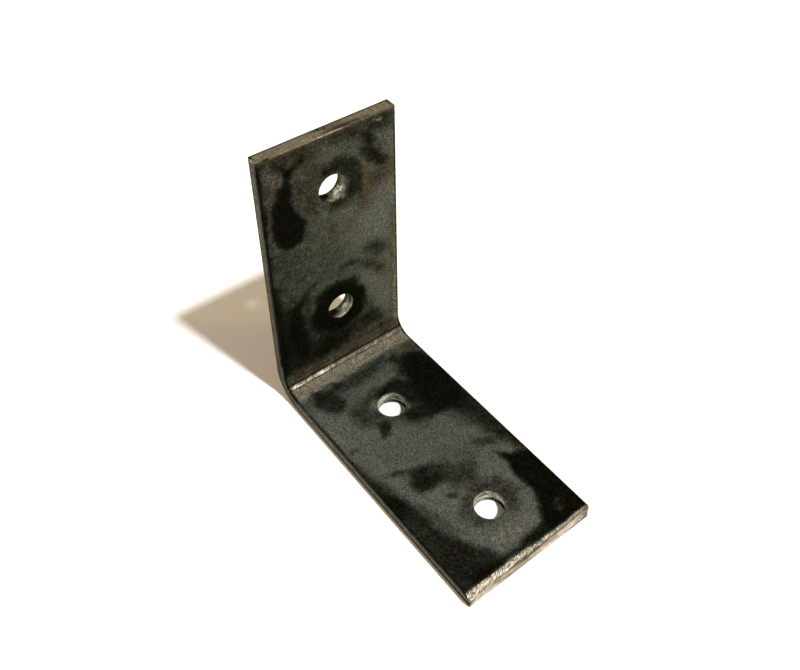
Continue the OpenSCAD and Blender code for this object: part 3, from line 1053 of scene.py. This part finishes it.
def press_brake():
    """The node tree that creases a flat bar across its middle and folds it to a right angle."""
    tree = bpy.data.node_groups.new("press brake", "GeometryNodeTree")
    add_sockets(
        tree,
        [
            ("Geometry", GEOMETRY),
            ("Fold Radius", FLOAT, 0.005),
            ("Thickness", FLOAT, 0.004),
            ("Crease Place", FLOAT, 0.0),
            ("Crease Depth", FLOAT, 0.0001),
            ("Tool Radius", FLOAT, 0.0016),
            ("Scale Relief", FLOAT, 0.00003),
            ("Seed", FLOAT, 0.0),
            ("Scale", MATERIAL),
        ],
        [("Geometry", GEOMETRY)],
    )
    given = place(tree, "NodeGroupInput").outputs
    position = place(tree, "GeometryNodeInputPosition").outputs[0]
    stored = place(
        tree,
        "GeometryNodeStoreNamedAttribute",
        {"Geometry": given["Geometry"], "Name": "flat"},
        data_type="FLOAT_VECTOR",
    )
    tree.links.new(position, stored.inputs["Value"])

    split = place(tree, "ShaderNodeSeparateXYZ", {0: position}).outputs
    along, across, depth = split[0], split[1], calc(tree, "MULTIPLY", split[2], -1.0)

    # The tool's nose is a circle about a centre nearer the fold's axis than the inner face is
    nose = calc(tree, "ADD", given["Fold Radius"], given["Crease Depth"])
    nose = calc(tree, "SUBTRACT", nose, given["Tool Radius"])
    from_crease = calc(tree, "SUBTRACT", along, given["Crease Place"])
    turn = calc(tree, "DIVIDE", from_crease, given["Fold Radius"])
    off_line = calc(tree, "MULTIPLY", nose, calc(tree, "SINE", turn))
    on_line = calc(tree, "MULTIPLY", nose, calc(tree, "COSINE", turn))
    tool_square = calc(tree, "MULTIPLY", given["Tool Radius"], given["Tool Radius"])
    chord = calc(tree, "SUBTRACT", tool_square, calc(tree, "MULTIPLY", off_line, off_line))
    chord = calc(tree, "SQRT", calc(tree, "MAXIMUM", chord, 0.0))
    reach = calc(tree, "ADD", on_line, chord)
    pressed = calc(tree, "MAXIMUM", calc(tree, "SUBTRACT", reach, given["Fold Radius"]), 0.0)
    near = calc(tree, "LESS_THAN", calc(tree, "ABSOLUTE", from_crease), given["Tool Radius"])
    inside = calc(tree, "LESS_THAN", depth, 0.7 * MM)
    pressed = calc(tree, "MULTIPLY", calc(tree, "MULTIPLY", pressed, near), inside)

    # Rolled scale is a little uneven, always below the face
    uneven = place(
        tree,
        "ShaderNodeTexNoise",
        {"Vector": position, "W": given["Seed"], "Scale": 420.0, "Detail": 3.0},
        noise_dimensions="4D",
    ).outputs[0]
    uneven = calc(tree, "MULTIPLY", uneven, given["Scale Relief"])
    normal = place(tree, "GeometryNodeInputNormal").outputs[0]
    sunk = place(tree, "ShaderNodeVectorMath", {0: normal, "Scale": uneven}, operation="SCALE")
    lowered = place(tree, "ShaderNodeSeparateXYZ", {0: sunk.outputs[0]}).outputs
    along = calc(tree, "SUBTRACT", along, lowered[0])
    across = calc(tree, "SUBTRACT", across, lowered[1])
    depth = calc(tree, "ADD", calc(tree, "ADD", depth, lowered[2]), pressed)

    # The quarter turn, with a straight leg before it and after it
    turn = calc(tree, "DIVIDE", along, given["Fold Radius"])
    turn = calc(tree, "ADD", turn, math.pi / 4)
    turn = calc(tree, "MINIMUM", calc(tree, "MAXIMUM", turn, 0.0), math.pi / 2)
    half_fold = calc(tree, "MULTIPLY", given["Fold Radius"], math.pi / 4)
    up = calc(tree, "SUBTRACT", calc(tree, "MULTIPLY", along, -1.0), half_fold)
    up = calc(tree, "MAXIMUM", up, 0.0)
    out = calc(tree, "MAXIMUM", calc(tree, "SUBTRACT", along, half_fold), 0.0)
    radius = calc(tree, "ADD", given["Fold Radius"], depth)
    outer = calc(tree, "ADD", given["Fold Radius"], given["Thickness"])
    x = calc(tree, "SUBTRACT", outer, calc(tree, "MULTIPLY", radius, calc(tree, "COSINE", turn)))
    z = calc(tree, "SUBTRACT", outer, calc(tree, "MULTIPLY", radius, calc(tree, "SINE", turn)))
    x = calc(tree, "ADD", x, out)
    z = calc(tree, "ADD", z, up)
    folded = place(tree, "ShaderNodeCombineXYZ", {0: x, 1: across, 2: z}).outputs[0]
    moved = place(
        tree,
        "GeometryNodeSetPosition",
        {"Geometry": stored.outputs[0], "Position": folded},
    )
    real = place(tree, "GeometryNodeRealizeInstances", {"Geometry": moved.outputs[0]})
    dressed = place(
        tree,
        "GeometryNodeSetMaterial",
        {"Geometry": real.outputs[0], "Material": given["Scale"]},
    )
    place(tree, "NodeGroupOutput", {"Geometry": dressed.outputs[0]})
    return tree


def set_input(modifier, name, value):
    """Sets one of a node modifier's inputs by the name that it has in the tree."""
    for socket in modifier.node_group.interface.items_tree:
        if socket.item_type == "SOCKET" and socket.in_out == "INPUT" and socket.name == name:
            modifier[socket.identifier] = value
            return
    raise KeyError(name)


def folded_piece(name, blank, tree, inputs):
    """Runs a node tree on a mesh, and returns the result as a plain object."""
    source = bpy.data.objects.new("blank", blank)
    bpy.context.scene.collection.objects.link(source)
    modifier = source.modifiers.new("fold", "NODES")
    modifier.node_group = tree
    for key, value in inputs.items():
        set_input(modifier, key, value)
    graph = bpy.context.evaluated_depsgraph_get()
    mesh = bpy.data.meshes.new_from_object(source.evaluated_get(graph), depsgraph=graph)
    bpy.data.objects.remove(source)
    mesh.name = name
    piece = bpy.data.objects.new(name, mesh)
    bpy.context.scene.collection.objects.link(piece)
    return piece


# ---------------------------------------------------------------- materials

# Colours are mixed in this gamma, in which equal steps look equal
GAMMA = 2.2

# What each group that makes a finish puts out
FINISH_OUTPUTS = (("Color", COLOUR), ("Roughness", FLOAT), ("Metallic", FLOAT), ("Height", FLOAT))


def mottle_group():
    """Patches of a value about zero."""
    tree = bpy.data.node_groups.new("mottle", "ShaderNodeTree")
    add_sockets(
        tree,
        [
            ("Place", VECTOR),
            ("Size", FLOAT, 1.0),
            ("Detail", FLOAT, 3.0),
            ("Seed", FLOAT, 0.0),
        ],
        [("Value", FLOAT), ("Colour", VECTOR)],
    )
    given = place(tree, "NodeGroupInput").outputs
    patches = place(
        tree,
        "ShaderNodeTexNoise",
        {
            "Vector": given["Place"],
            "W": given["Seed"],
            "Scale": calc(tree, "DIVIDE", 1.0, given["Size"]),
            "Detail": given["Detail"],
            "Roughness": 0.62,
        },
        noise_dimensions="4D",
    ).outputs
    value = calc(tree, "MULTIPLY_ADD", patches[0], 2.0, -1.0)
    colour = place(
        tree,
        "ShaderNodeVectorMath",
        {0: patches[1], 1: (2, 2, 2), 2: (-1, -1, -1)},
        operation="MULTIPLY_ADD",
    )
    place(tree, "NodeGroupOutput", {"Value": value, "Colour": colour.outputs[0]})
    return tree


def torn_group(mottle):
    """A mask whose edge, where a value passes a level, is torn."""
    tree = bpy.data.node_groups.new("torn edge", "ShaderNodeTree")
    add_sockets(
        tree,
        [
            ("Place", VECTOR),
            ("Value", FLOAT, 0.0),
            ("Level", FLOAT, 0.0),
            ("Softness", FLOAT, 0.1),
            ("Raggedness", FLOAT, 0.3),
            ("Size", FLOAT, 1.0),
            ("Seed", FLOAT, 0.0),
        ],
        [("Mask", FLOAT)],
    )
    given = place(tree, "NodeGroupInput").outputs
    patches = use(
        tree, mottle, place=given["Place"], size=given["Size"], detail=4.0, seed=given["Seed"]
    )
    value = calc(tree, "MULTIPLY_ADD", patches["Value"], given["Raggedness"], given["Value"])
    low = calc(tree, "SUBTRACT", given["Level"], given["Softness"])
    high = calc(tree, "ADD", given["Level"], given["Softness"])
    place(tree, "NodeGroupOutput", {"Mask": rise(tree, value, low, high)})
    return tree


def scratch_group():
    """Lines that a tool leaves, from 0 to 1; Stretch is how fast they change each way, per mm."""
    tree = bpy.data.node_groups.new("tool lines", "ShaderNodeTree")
    add_sockets(
        tree,
        [
            ("Place", VECTOR),
            ("Turn", FLOAT, 0.0),
            ("Stretch", VECTOR, (0.3, 3.0, 3.0)),
            ("Seed", FLOAT, 0.0),
        ],
        [("Lines", FLOAT)],
    )
    given = place(tree, "NodeGroupInput").outputs
    turned = place(
        tree,
        "ShaderNodeVectorRotate",
        {"Vector": given["Place"], "Angle": given["Turn"]},
        rotation_type="Z_AXIS",
    ).outputs[0]
    drawn = place(
        tree, "ShaderNodeVectorMath", {0: turned, 1: given["Stretch"]}, operation="MULTIPLY"
    )
    lines = place(
        tree,
        "ShaderNodeTexNoise",
        {"Vector": drawn.outputs[0], "W": given["Seed"], "Scale": 1.0, "Detail": 2.0},
        noise_dimensions="4D",
    ).outputs[0]
    place(tree, "NodeGroupOutput", {"Lines": rise(tree, lines, 0.32, 0.68)})
    return tree


def in_gamma(tree, colour):
    """A colour in the gamma in which colours are mixed."""
    return place(tree, "ShaderNodeGamma", {0: colour, 1: 1 / GAMMA}).outputs[0]


def scaled(tree, colour, share):
    """A colour or vector, times a value."""
    return place(
        tree, "ShaderNodeVectorMath", {0: colour, "Scale": share}, operation="SCALE"
    ).outputs[0]


def broken(tree, cover, patches, grain, strength):
    """A cover that breaks up into patches and grain, most where it is half way to full."""
    middle = calc(tree, "MULTIPLY", cover, calc(tree, "SUBTRACT", 1.0, cover))
    share = calc(tree, "MULTIPLY_ADD", middle, strength, 0.05)
    cover = calc(tree, "MULTIPLY_ADD", patches, share, cover)
    return calc(tree, "MULTIPLY_ADD", grain, share, cover, clamp=True)


def scale_group(mottle):
    """Mill scale: grey, with black, brown and pale stains, grain and pits."""
    tree = bpy.data.node_groups.new("mill scale", "ShaderNodeTree")
    add_sockets(
        tree,
        [
            ("Place", VECTOR),
            ("Black", FLOAT, 0.0),
            ("Brown", FLOAT, 0.0),
            ("Pale", FLOAT, 0.0),
            ("Grey Colour", COLOUR, (0.08, 0.08, 0.07, 1)),
            ("Black Colour", COLOUR, (0.005, 0.005, 0.004, 1)),
            ("Brown Colour", COLOUR, (0.05, 0.04, 0.02, 1)),
            ("Pale Colour", COLOUR, (0.18, 0.16, 0.11, 1)),
        ],
        FINISH_OUTPUTS,
    )
    given = place(tree, "NodeGroupInput").outputs
    spot = given["Place"]
    grain = use(tree, mottle, place=spot, size=0.38, detail=2.0, seed=1.0)
    fine = use(tree, mottle, place=spot, size=0.22, detail=1.0, seed=12.0)
    speck = use(tree, mottle, place=spot, size=1.1, detail=2.0, seed=9.0)
    cloud = use(tree, mottle, place=spot, size=3.2, detail=5.0, seed=2.0)
    pits = use(tree, mottle, place=spot, size=0.6, detail=1.0, seed=15.0)["Value"]

    black = broken(tree, given["Black"], cloud["Value"], speck["Value"], 2.3)
    brown = broken(tree, given["Brown"], cloud["Value"], speck["Value"], 3.0)
    pale = broken(tree, given["Pale"], speck["Value"], grain["Value"], 2.8)

    colour = in_gamma(tree, given["Grey Colour"])
    colour = blend(tree, brown, colour, in_gamma(tree, given["Brown Colour"]))
    pits = calc(tree, "MULTIPLY", rise(tree, pits, 0.4, 0.56), 0.7)
    black = calc(tree, "MAXIMUM", black, pits)
    colour = blend(tree, black, colour, in_gamma(tree, given["Black Colour"]))
    colour = blend(tree, pale, colour, in_gamma(tree, given["Pale Colour"]))
    light = calc(tree, "MULTIPLY_ADD", fine["Value"], 0.3, 1.0)
    light = calc(tree, "MULTIPLY_ADD", grain["Value"], 0.52, light)
    light = calc(tree, "MULTIPLY_ADD", speck["Value"], 0.28, light)
    light = calc(tree, "MULTIPLY_ADD", cloud["Value"], 0.16, light)
    colour = scaled(tree, colour, light)
    spots = calc(tree, "MULTIPLY", grain["Value"], 0.05)
    spots = calc(tree, "MULTIPLY_ADD", fine["Value"], 0.07, spots)
    for tint, share in ((cloud["Colour"], 0.028), (grain["Colour"], 0.03), ((1, 1, 0.9), spots)):
        colour = place(
            tree, "ShaderNodeVectorMath", {0: colour, 1: scaled(tree, tint, share)}, operation="ADD"
        ).outputs[0]
    colour = place(
        tree, "ShaderNodeVectorMath", {0: colour, 1: (0.01, 0.01, 0.005)}, operation="MAXIMUM"
    ).outputs[0]
    colour = place(tree, "ShaderNodeGamma", {0: colour, 1: GAMMA}).outputs[0]

    rough = calc(tree, "MULTIPLY_ADD", black, -0.06, 0.54)
    rough = calc(tree, "MULTIPLY_ADD", pale, 0.16, rough)
    rough = calc(tree, "MULTIPLY_ADD", grain["Value"], 0.12, rough)
    metal = calc(tree, "MULTIPLY_ADD", black, -0.2, 0.2)
    metal = calc(tree, "MULTIPLY_ADD", pale, -0.2, metal, clamp=True)
    height = calc(tree, "MULTIPLY_ADD", speck["Value"], 0.8, grain["Value"])
    place(
        tree,
        "NodeGroupOutput",
        {"Color": colour, "Roughness": rough, "Metallic": metal, "Height": height},
    )
    return tree


def steel_group(mottle, scratches):
    """Bare steel: bright where a tool cut it, with the tool's lines and patches of dirt."""
    tree = bpy.data.node_groups.new("bare steel", "ShaderNodeTree")
    add_sockets(
        tree,
        [
            ("Place", VECTOR),
            ("Turn", FLOAT, 0.0),
            ("Stretch", VECTOR, (0.3, 3.0, 3.0)),
            ("Line Strength", FLOAT, 0.4),
            ("Black", FLOAT, 0.0),
            ("Brown", FLOAT, 0.0),
            ("Pale", FLOAT, 0.0),
            ("Dirt", FLOAT, 0.3),
            ("Steel Colour", COLOUR, (0.7, 0.6, 0.5, 1)),
            ("Dirt Colour", COLOUR, (0.05, 0.04, 0.02, 1)),
            ("Black Colour", COLOUR, (0.005, 0.005, 0.004, 1)),
            ("Seed", FLOAT, 0.0),
        ],
        FINISH_OUTPUTS,
    )
    given = place(tree, "NodeGroupInput").outputs
    spot, seed = given["Place"], given["Seed"]
    lines = use(
        tree, scratches, place=spot, turn=given["Turn"], stretch=given["Stretch"], seed=seed
    )["Lines"]
    grain = use(tree, mottle, place=spot, size=0.36, detail=3.0, seed=5.0)["Value"]
    fine = use(tree, mottle, place=spot, size=0.2, detail=1.0, seed=13.0)["Value"]
    patches = use(tree, mottle, place=spot, size=1.5, detail=4.0, seed=seed)["Value"]
    dirt = calc(tree, "MULTIPLY_ADD", patches, 1.2, given["Dirt"])
    dirt = calc(tree, "MULTIPLY", rise(tree, dirt, 0.2, 0.9), 0.8)
    dirt = calc(tree, "MAXIMUM", dirt, broken(tree, given["Brown"], patches, grain, 2.0))
    black = broken(tree, given["Black"], patches, grain, 1.5)

    centred = calc(tree, "SUBTRACT", lines, 0.5)
    shade = calc(tree, "MULTIPLY_ADD", centred, given["Line Strength"], 0.73)
    shade = calc(tree, "MULTIPLY_ADD", grain, 0.55, shade)
    shade = calc(tree, "MULTIPLY_ADD", fine, 0.4, shade)
    shade = calc(tree, "MULTIPLY_ADD", given["Pale"], 0.34, shade)
    colour = scaled(tree, in_gamma(tree, given["Steel Colour"]), shade)
    colour = blend(tree, dirt, colour, in_gamma(tree, given["Dirt Colour"]))
    colour = blend(tree, black, colour, in_gamma(tree, given["Black Colour"]))
    colour = place(tree, "ShaderNodeGamma", {0: colour, 1: GAMMA}).outputs[0]
    rough = calc(tree, "MULTIPLY_ADD", lines, -0.1, 0.5)
    rough = calc(tree, "MULTIPLY_ADD", dirt, 0.2, rough)
    metal = calc(tree, "MULTIPLY_ADD", calc(tree, "MAXIMUM", dirt, black), -0.45, 0.45, clamp=True)
    place(
        tree,
        "NodeGroupOutput",
        {"Color": colour, "Roughness": rough, "Metallic": metal, "Height": lines},
    )
    return tree


def layer(tree, name):
    """What stain() stored on the bar's points under a name."""
    return place(tree, "ShaderNodeAttribute", attribute_name=name).outputs["Fac"]


def bare_steels(tree, finish, mottle, stains):
    """The bar's bare steels by name, each with the lines of the tool that cut it."""
    steel_tree = steel_group(mottle, scratch_group())
    # Colour, turn and stretch of the lines, their strength, how dirty the steel is, and a seed
    kinds = {
        "rubbed": (finish.ground_steel, 0.9, (0.6, 3.0, 1.0), 0.5, 0.4, 5.0),
        "drilled": (finish.drilled_steel, 0.0, (0.25, 0.25, 2.4), 0.4, 0.12, 8.0),
        "ground": (finish.ground_steel, 1.16, (0.9, 5.5, 0.9), 0.55, 0.05, 3.0),
        "cut": (finish.cut_steel, 0.0, (1.0, 0.45, 2.6), 0.22, 0.0, 7.0),
        "sawn": (finish.sawn_steel, 0.0, (1.0, 1.6, 0.5), 0.12, 0.0, 6.0),
    }
    steels = {}
    for name, (colour, turn, stretch, line_strength, dirt, seed) in kinds.items():
        steels[name] = use(
            tree,
            steel_tree,
            turn=turn,
            stretch=stretch,
            line_strength=line_strength,
            dirt=dirt,
            seed=seed,
            steel_colour=(*colour, 1),
            dirt_colour=(*finish.rust, 1),
            black_colour=(*finish.black_scale, 1),
            **stains,
        )
    return steels


def cut_masks(tree, flat, torn, where, on_base):
    """Masks of the bare steel in the holes and at both ends, by the name of each cut."""
    in_hole = use(
        tree, torn, place=where, value=calc(tree, "SUBTRACT", 0.03, layer(tree, "hole_gap")),
        level=0.0, softness=0.06, raggedness=0.3, size=0.7, seed=4.0,
    )["Mask"]
    at_cut = use(
        tree, torn, place=where, value=layer(tree, "cut_gap"), level=0.0, softness=0.25,
        raggedness=calc(tree, "MULTIPLY_ADD", on_base, 0.9, 0.9), size=0.6, seed=6.0,
    )["Mask"]
    # Painted highlight: where the pale layer carries the top glint, the sawn end turns to bright cut
    # steel
    bright = use(
        tree, torn, place=where, value=layer(tree, "pale"), level=0.82, softness=0.1,
        raggedness=0.5, size=0.8, seed=9.0,
    )["Mask"]
    at_end = calc(tree, "MULTIPLY", at_cut, on_base)
    at_top = calc(tree, "SUBTRACT", at_cut, at_end)
    end_mm = flat.base_end / MM
    along = place(tree, "ShaderNodeSeparateXYZ", {0: where}).outputs[0]
    return {
        "hole": in_hole,
        "top": at_top,
        "top glint": calc(tree, "MULTIPLY", at_top, bright),
        "bevel": at_end,
        "end face": rise(tree, along, end_mm - 0.2, end_mm - 0.03),
    }


def crease_masks(tree, flat, torn, where):
    """Masks of the crease's rubbed steel, and of the dark lines along its two edges: painted shade
    under the step that the press tool left, partly dark scale.
    """
    along, across, minus_depth = place(tree, "ShaderNodeSeparateXYZ", {0: where}).outputs
    on_inner = rise(tree, minus_depth, -0.7, -0.3)
    half = flat.crease_half / MM
    from_crease = calc(tree, "SUBTRACT", along, flat.crease / MM)
    off_crease = use(
        tree, torn, place=where, value=calc(tree, "ABSOLUTE", from_crease), level=half - 0.1,
        softness=0.12, raggedness=0.35, size=0.6, seed=7.0,
    )["Mask"]
    rubbed = calc(tree, "MULTIPLY", calc(tree, "SUBTRACT", 1.0, off_crease), on_inner)

    # The line on the base leg's side of the crease fades to the right
    upper_line = calc(tree, "ABSOLUTE", calc(tree, "ADD", from_crease, half))
    upper_line = calc(tree, "SUBTRACT", 1.0, rise(tree, upper_line, 0.12, 0.42))
    lower_line = calc(tree, "ABSOLUTE", calc(tree, "SUBTRACT", from_crease, half))
    lower_line = calc(tree, "SUBTRACT", 1.0, rise(tree, lower_line, 0.06, 0.26))
    fade = calc(tree, "SUBTRACT", 1.0, rise(tree, across, 2.0, 17.0))
    lower_line = calc(tree, "MULTIPLY", lower_line, calc(tree, "MULTIPLY_ADD", fade, 0.4, 0.3))
    lines = calc(tree, "MAXIMUM", calc(tree, "MULTIPLY", upper_line, 0.85), lower_line)
    return rubbed, calc(tree, "MULTIPLY", lines, on_inner)


def steel_material(finish, flat):
    """The bar's finish: mill scale, with bare steel at its holes, its cut ends and its crease."""
    material = bpy.data.materials.new("mill scale steel")
    material.use_nodes = True
    tree = material.node_tree
    tree.nodes.clear()
    mottle = mottle_group()
    torn = torn_group(mottle)
    where = place(tree, "ShaderNodeAttribute", attribute_name="flat").outputs["Vector"]
    where = scaled(tree, where, 1 / MM)
    along = place(tree, "ShaderNodeSeparateXYZ", {0: where}).outputs[0]
    on_base = calc(tree, "GREATER_THAN", along, 0.0)
    stains = {name: layer(tree, name) for name in ("black", "brown", "pale")}
    stains["place"] = where
    scale = use(
        tree,
        scale_group(mottle),
        # The upright leg gets the warmer copy of the grey scale: painted bounce light
        grey_colour=blend(tree, on_base, (*finish.bounce_warmed_scale, 1), (*finish.grey_scale, 1)),
        black_colour=(*finish.black_scale, 1),
        brown_colour=(*finish.rust, 1),
        pale_colour=(*finish.dust, 1),
        **stains,
    )
    steels = bare_steels(tree, finish, mottle, stains)
    cuts = cut_masks(tree, flat, torn, where, on_base)
    in_crease, lines = crease_masks(tree, flat, torn, where)

    names = ("Roughness", "Metallic", "Height")
    colour = scale["Color"]
    values = {name: scale[name] for name in names}
    surfaces = (
        (in_crease, steels["rubbed"]),
        (cuts["hole"], steels["drilled"]),
        (cuts["top"], steels["sawn"]),
        # The top glint is a painted highlight in bright cut steel
        (cuts["top glint"], steels["cut"]),
        (cuts["bevel"], steels["ground"]),
        (cuts["end face"], steels["cut"]),
    )
    for mask, steel in surfaces:
        colour = blend(tree, mask, colour, steel["Color"])
        for name in names:
            values[name] = place(
                tree, "ShaderNodeMix", {0: mask, 2: values[name], 3: steel[name]}
            ).outputs[0]
    # The crease's edge lines darken the colour: painted shade under the step at each edge, partly dark
    # scale
    colour = scaled(tree, colour, calc(tree, "SUBTRACT", 1.0, lines))
    bump = place(
        tree, "ShaderNodeBump", {"Height": values["Height"], "Distance": 0.02 * MM, "Strength": 0.6}
    )
    shader = place(
        tree,
        "ShaderNodeBsdfPrincipled",
        {
            "Base Color": colour,
            "Roughness": values["Roughness"],
            "Metallic": values["Metallic"],
            "Specular IOR Level": 0.004,
            "Normal": bump.outputs[0],
        },
    )
    place(tree, "ShaderNodeOutputMaterial", {"Surface": shader.outputs[0]})
    return material


# ---------------------------------------------------------------- the bracket

class BRACKET_OT_fold_bar(bpy.types.Operator):
    """Make the bracket: a drilled flat bar, folded once"""

    bl_idname = "bracket.fold_bar"
    bl_label = "Fold the Bar"

    def execute(self, context):
        bar = context.scene.bracket_bar
        flat = FlatBar(bar, context.scene.bracket_ends)
        blank = flat_blank(flat)
        stain(blank, flat)
        inputs = {
            "Fold Radius": bar.fold_radius,
            "Thickness": bar.thickness,
            "Crease Place": flat.crease,
            "Crease Depth": bar.crease_depth,
            "Tool Radius": bar.crease_tool,
            "Scale Relief": bar.scale_relief,
            "Scale": steel_material(context.scene.bracket_finish, flat),
        }
        piece = folded_piece("folded_bar", blank, press_brake(), inputs)
        piece.data.shade_smooth()
        piece.data.set_sharp_from_angle(angle=math.radians(28))
        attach(piece, "root")
        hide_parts(NODE)
        return {"FINISHED"}


# ---------------------------------------------------------------- the stage

def floor_material(colour, footprint):
    """A pale floor that shows white, keeps its shadows, and lights nothing by itself.

    Its shadows are lightened by a painted glow, as if by a room, but less so beside and under the
    bracket, where that paints shade.
    """
    material = bpy.data.materials.new("pale floor")
    material.use_nodes = True
    tree = material.node_tree
    tree.nodes.clear()
    matt = place(tree, "ShaderNodeBsdfDiffuse", {"Color": (*colour, 1)})
    path = place(tree, "ShaderNodeLightPath").outputs
    seen = calc(tree, "MAXIMUM", path["Is Camera Ray"], path["Is Glossy Ray"])
    seen = calc(tree, "MAXIMUM", seen, path["Is Transmission Ray"])
    spot = place(tree, "ShaderNodeTexCoord").outputs["Object"]
    spot = place(tree, "ShaderNodeSeparateXYZ", {0: scaled(tree, spot, 1 / MM)}).outputs
    middle = calc(tree, "SUBTRACT", spot[0], footprint[0] / 2)
    gap_x = calc(tree, "SUBTRACT", calc(tree, "ABSOLUTE", middle), footprint[0] / 2)
    gap_y = calc(tree, "SUBTRACT", calc(tree, "ABSOLUTE", spot[1]), footprint[1] / 2)
    # Painted shade: the glow fades out beside and under the bracket, so the floor there stays darker
    near = rise(tree, calc(tree, "MAXIMUM", gap_x, gap_y), -7.0, 1.5)

    # The painted glow that lightens the shadow is stronger further behind the upright leg, to its right
    away = calc(tree, "MULTIPLY", spot[0], -0.785)
    away = calc(tree, "MULTIPLY_ADD", spot[1], 0.62, away)
    close_tint = (0.124, 0.06, 0.0, 1)
    far_tint = (0.18, 0.108, 0.022, 1)
    tint = blend(tree, rise(tree, away, 8.0, 19.0), close_tint, far_tint)
    glow = place(
        tree,
        "ShaderNodeEmission",
        {"Color": tint, "Strength": calc(tree, "MULTIPLY", seen, near)},
    )
    both = place(tree, "ShaderNodeAddShader", {0: matt.outputs[0], 1: glow.outputs[0]})
    place(tree, "ShaderNodeOutputMaterial", {"Surface": both.outputs[0]})
    return material


def sweep_floor(radius, rim_height):
    """A round floor whose rim sweeps up, so that its edge stays out of sight."""
    corners = 64
    steps = [(radius * 0.05, 0), (radius * 0.5, 0)]
    for turn in np.linspace(0, 1, 9)[1:]:
        steps.append((radius * (0.5 + 0.5 * turn), rim_height * turn ** 2))
    shaped = bmesh.new()
    rings = []
    for reach, height in steps:
        ring_points = []
        for angle in np.linspace(0, 2 * math.pi, corners + 1)[:-1]:
            point = (reach * math.cos(angle), reach * math.sin(angle), height)
            ring_points.append(shaped.verts.new(point))
        rings.append(ring_points)
    shaped.faces.new(rings[0])
    for inner, outer in zip(rings, rings[1:]):
        for number in range(corners):
            after = (number + 1) % corners
            shaped.faces.new((inner[number], outer[number], outer[after], inner[after]))
    mesh = bpy.data.meshes.new("floor")
    bmesh.ops.recalc_face_normals(shaped, faces=shaped.faces)
    shaped.to_mesh(mesh)
    shaped.free()
    mesh.shade_smooth()
    return mesh


def add_light(scene, studio):
    """The lamp, and the even light of the room."""
    lamp = bpy.data.lights.new("key lamp", "SUN")
    lamp.energy = studio.key_light
    lamp.angle = math.radians(3.2)
    key = bpy.data.objects.new("key_lamp", lamp)
    towards_lamp = Vector((0.482, 0.108, 0.869))
    key.rotation_euler = towards_lamp.to_track_quat("Z", "Y").to_euler()
    scene.collection.objects.link(key)

    world = bpy.data.worlds.new("room")
    world.use_nodes = True
    backdrop = world.node_tree.nodes["Background"]
    backdrop.inputs["Color"].default_value = (1.0, 0.94, 0.80, 1)
    backdrop.inputs["Strength"].default_value = studio.room_light
    scene.world = world


def add_camera(scene):
    """The camera, above the base leg's cut end and to its left."""
    camera = bpy.data.cameras.new("camera")
    camera.lens = 42.92
    camera.sensor_width = 36.0
    camera.shift_x = -0.0369
    camera.shift_y = -0.1323
    camera.clip_start = 0.01
    camera.clip_end = 20
    eye = bpy.data.objects.new("camera", camera)
    eye.location = (0.16418, -0.09932, 0.21266)
    eye.rotation_euler = [math.radians(angle) for angle in (49.534, -0.577, 51.289)]
    scene.collection.objects.link(eye)
    scene.camera = eye


class BRACKET_OT_set_stage(bpy.types.Operator):
    """Make the floor, the lamp, the even room light and the camera"""

    bl_idname = "bracket.set_stage"
    bl_label = "Set the Stage"

    def execute(self, context):
        scene = context.scene
        studio = scene.bracket_studio
        low, high = CAD_BOX
        footprint = ((high[0] - low[0]) / MM, (high[1] - low[1]) / MM)
        floor = bpy.data.objects.new("floor", sweep_floor(3.0, 0.9))
        floor.data.materials.append(floor_material(studio.floor_colour, footprint))
        scene.collection.objects.link(floor)
        add_light(scene, studio)
        add_camera(scene)
        scene.view_settings.view_transform = "Standard"
        return {"FINISHED"}


# ---------------------------------------------------------------- the add-on

class BRACKET_PT_panel(bpy.types.Panel):
    """Lists the bracket's sizes and the steps that make it"""

    bl_idname = "BRACKET_PT_panel"
    bl_label = "Corner Brace Bracket"
    bl_space_type = "VIEW_3D"
    bl_region_type = "UI"
    bl_category = "Bracket"

    def draw(self, context):
        scene = context.scene
        for name in GROUPS:
            group = getattr(scene, name)
            box = self.layout.box()
            box.label(text=type(group).__doc__)
            for setting in type(group).__annotations__:
                box.prop(group, setting)
        self.layout.operator(BRACKET_OT_fold_bar.bl_idname)
        self.layout.operator(BRACKET_OT_set_stage.bl_idname)


CLASSES = (
    BracketBar,
    BracketEnds,
    BracketFinish,
    BracketStudio,
    BRACKET_OT_fold_bar,
    BRACKET_OT_set_stage,
    BRACKET_PT_panel,
)
GROUPS = {
    "bracket_bar": BracketBar,
    "bracket_ends": BracketEnds,
    "bracket_finish": BracketFinish,
    "bracket_studio": BracketStudio,
}


def register():
    for made in CLASSES:
        bpy.utils.register_class(made)
    for name, group in GROUPS.items():
        setattr(bpy.types.Scene, name, bpy.props.PointerProperty(type=group))


def unregister():
    for name in GROUPS:
        delattr(bpy.types.Scene, name)
    for made in reversed(CLASSES):
        bpy.utils.unregister_class(made)


def main():
    register()
    bpy.ops.bracket.fold_bar()
    bpy.ops.bracket.set_stage()


if __name__ == "__main__":
    main()
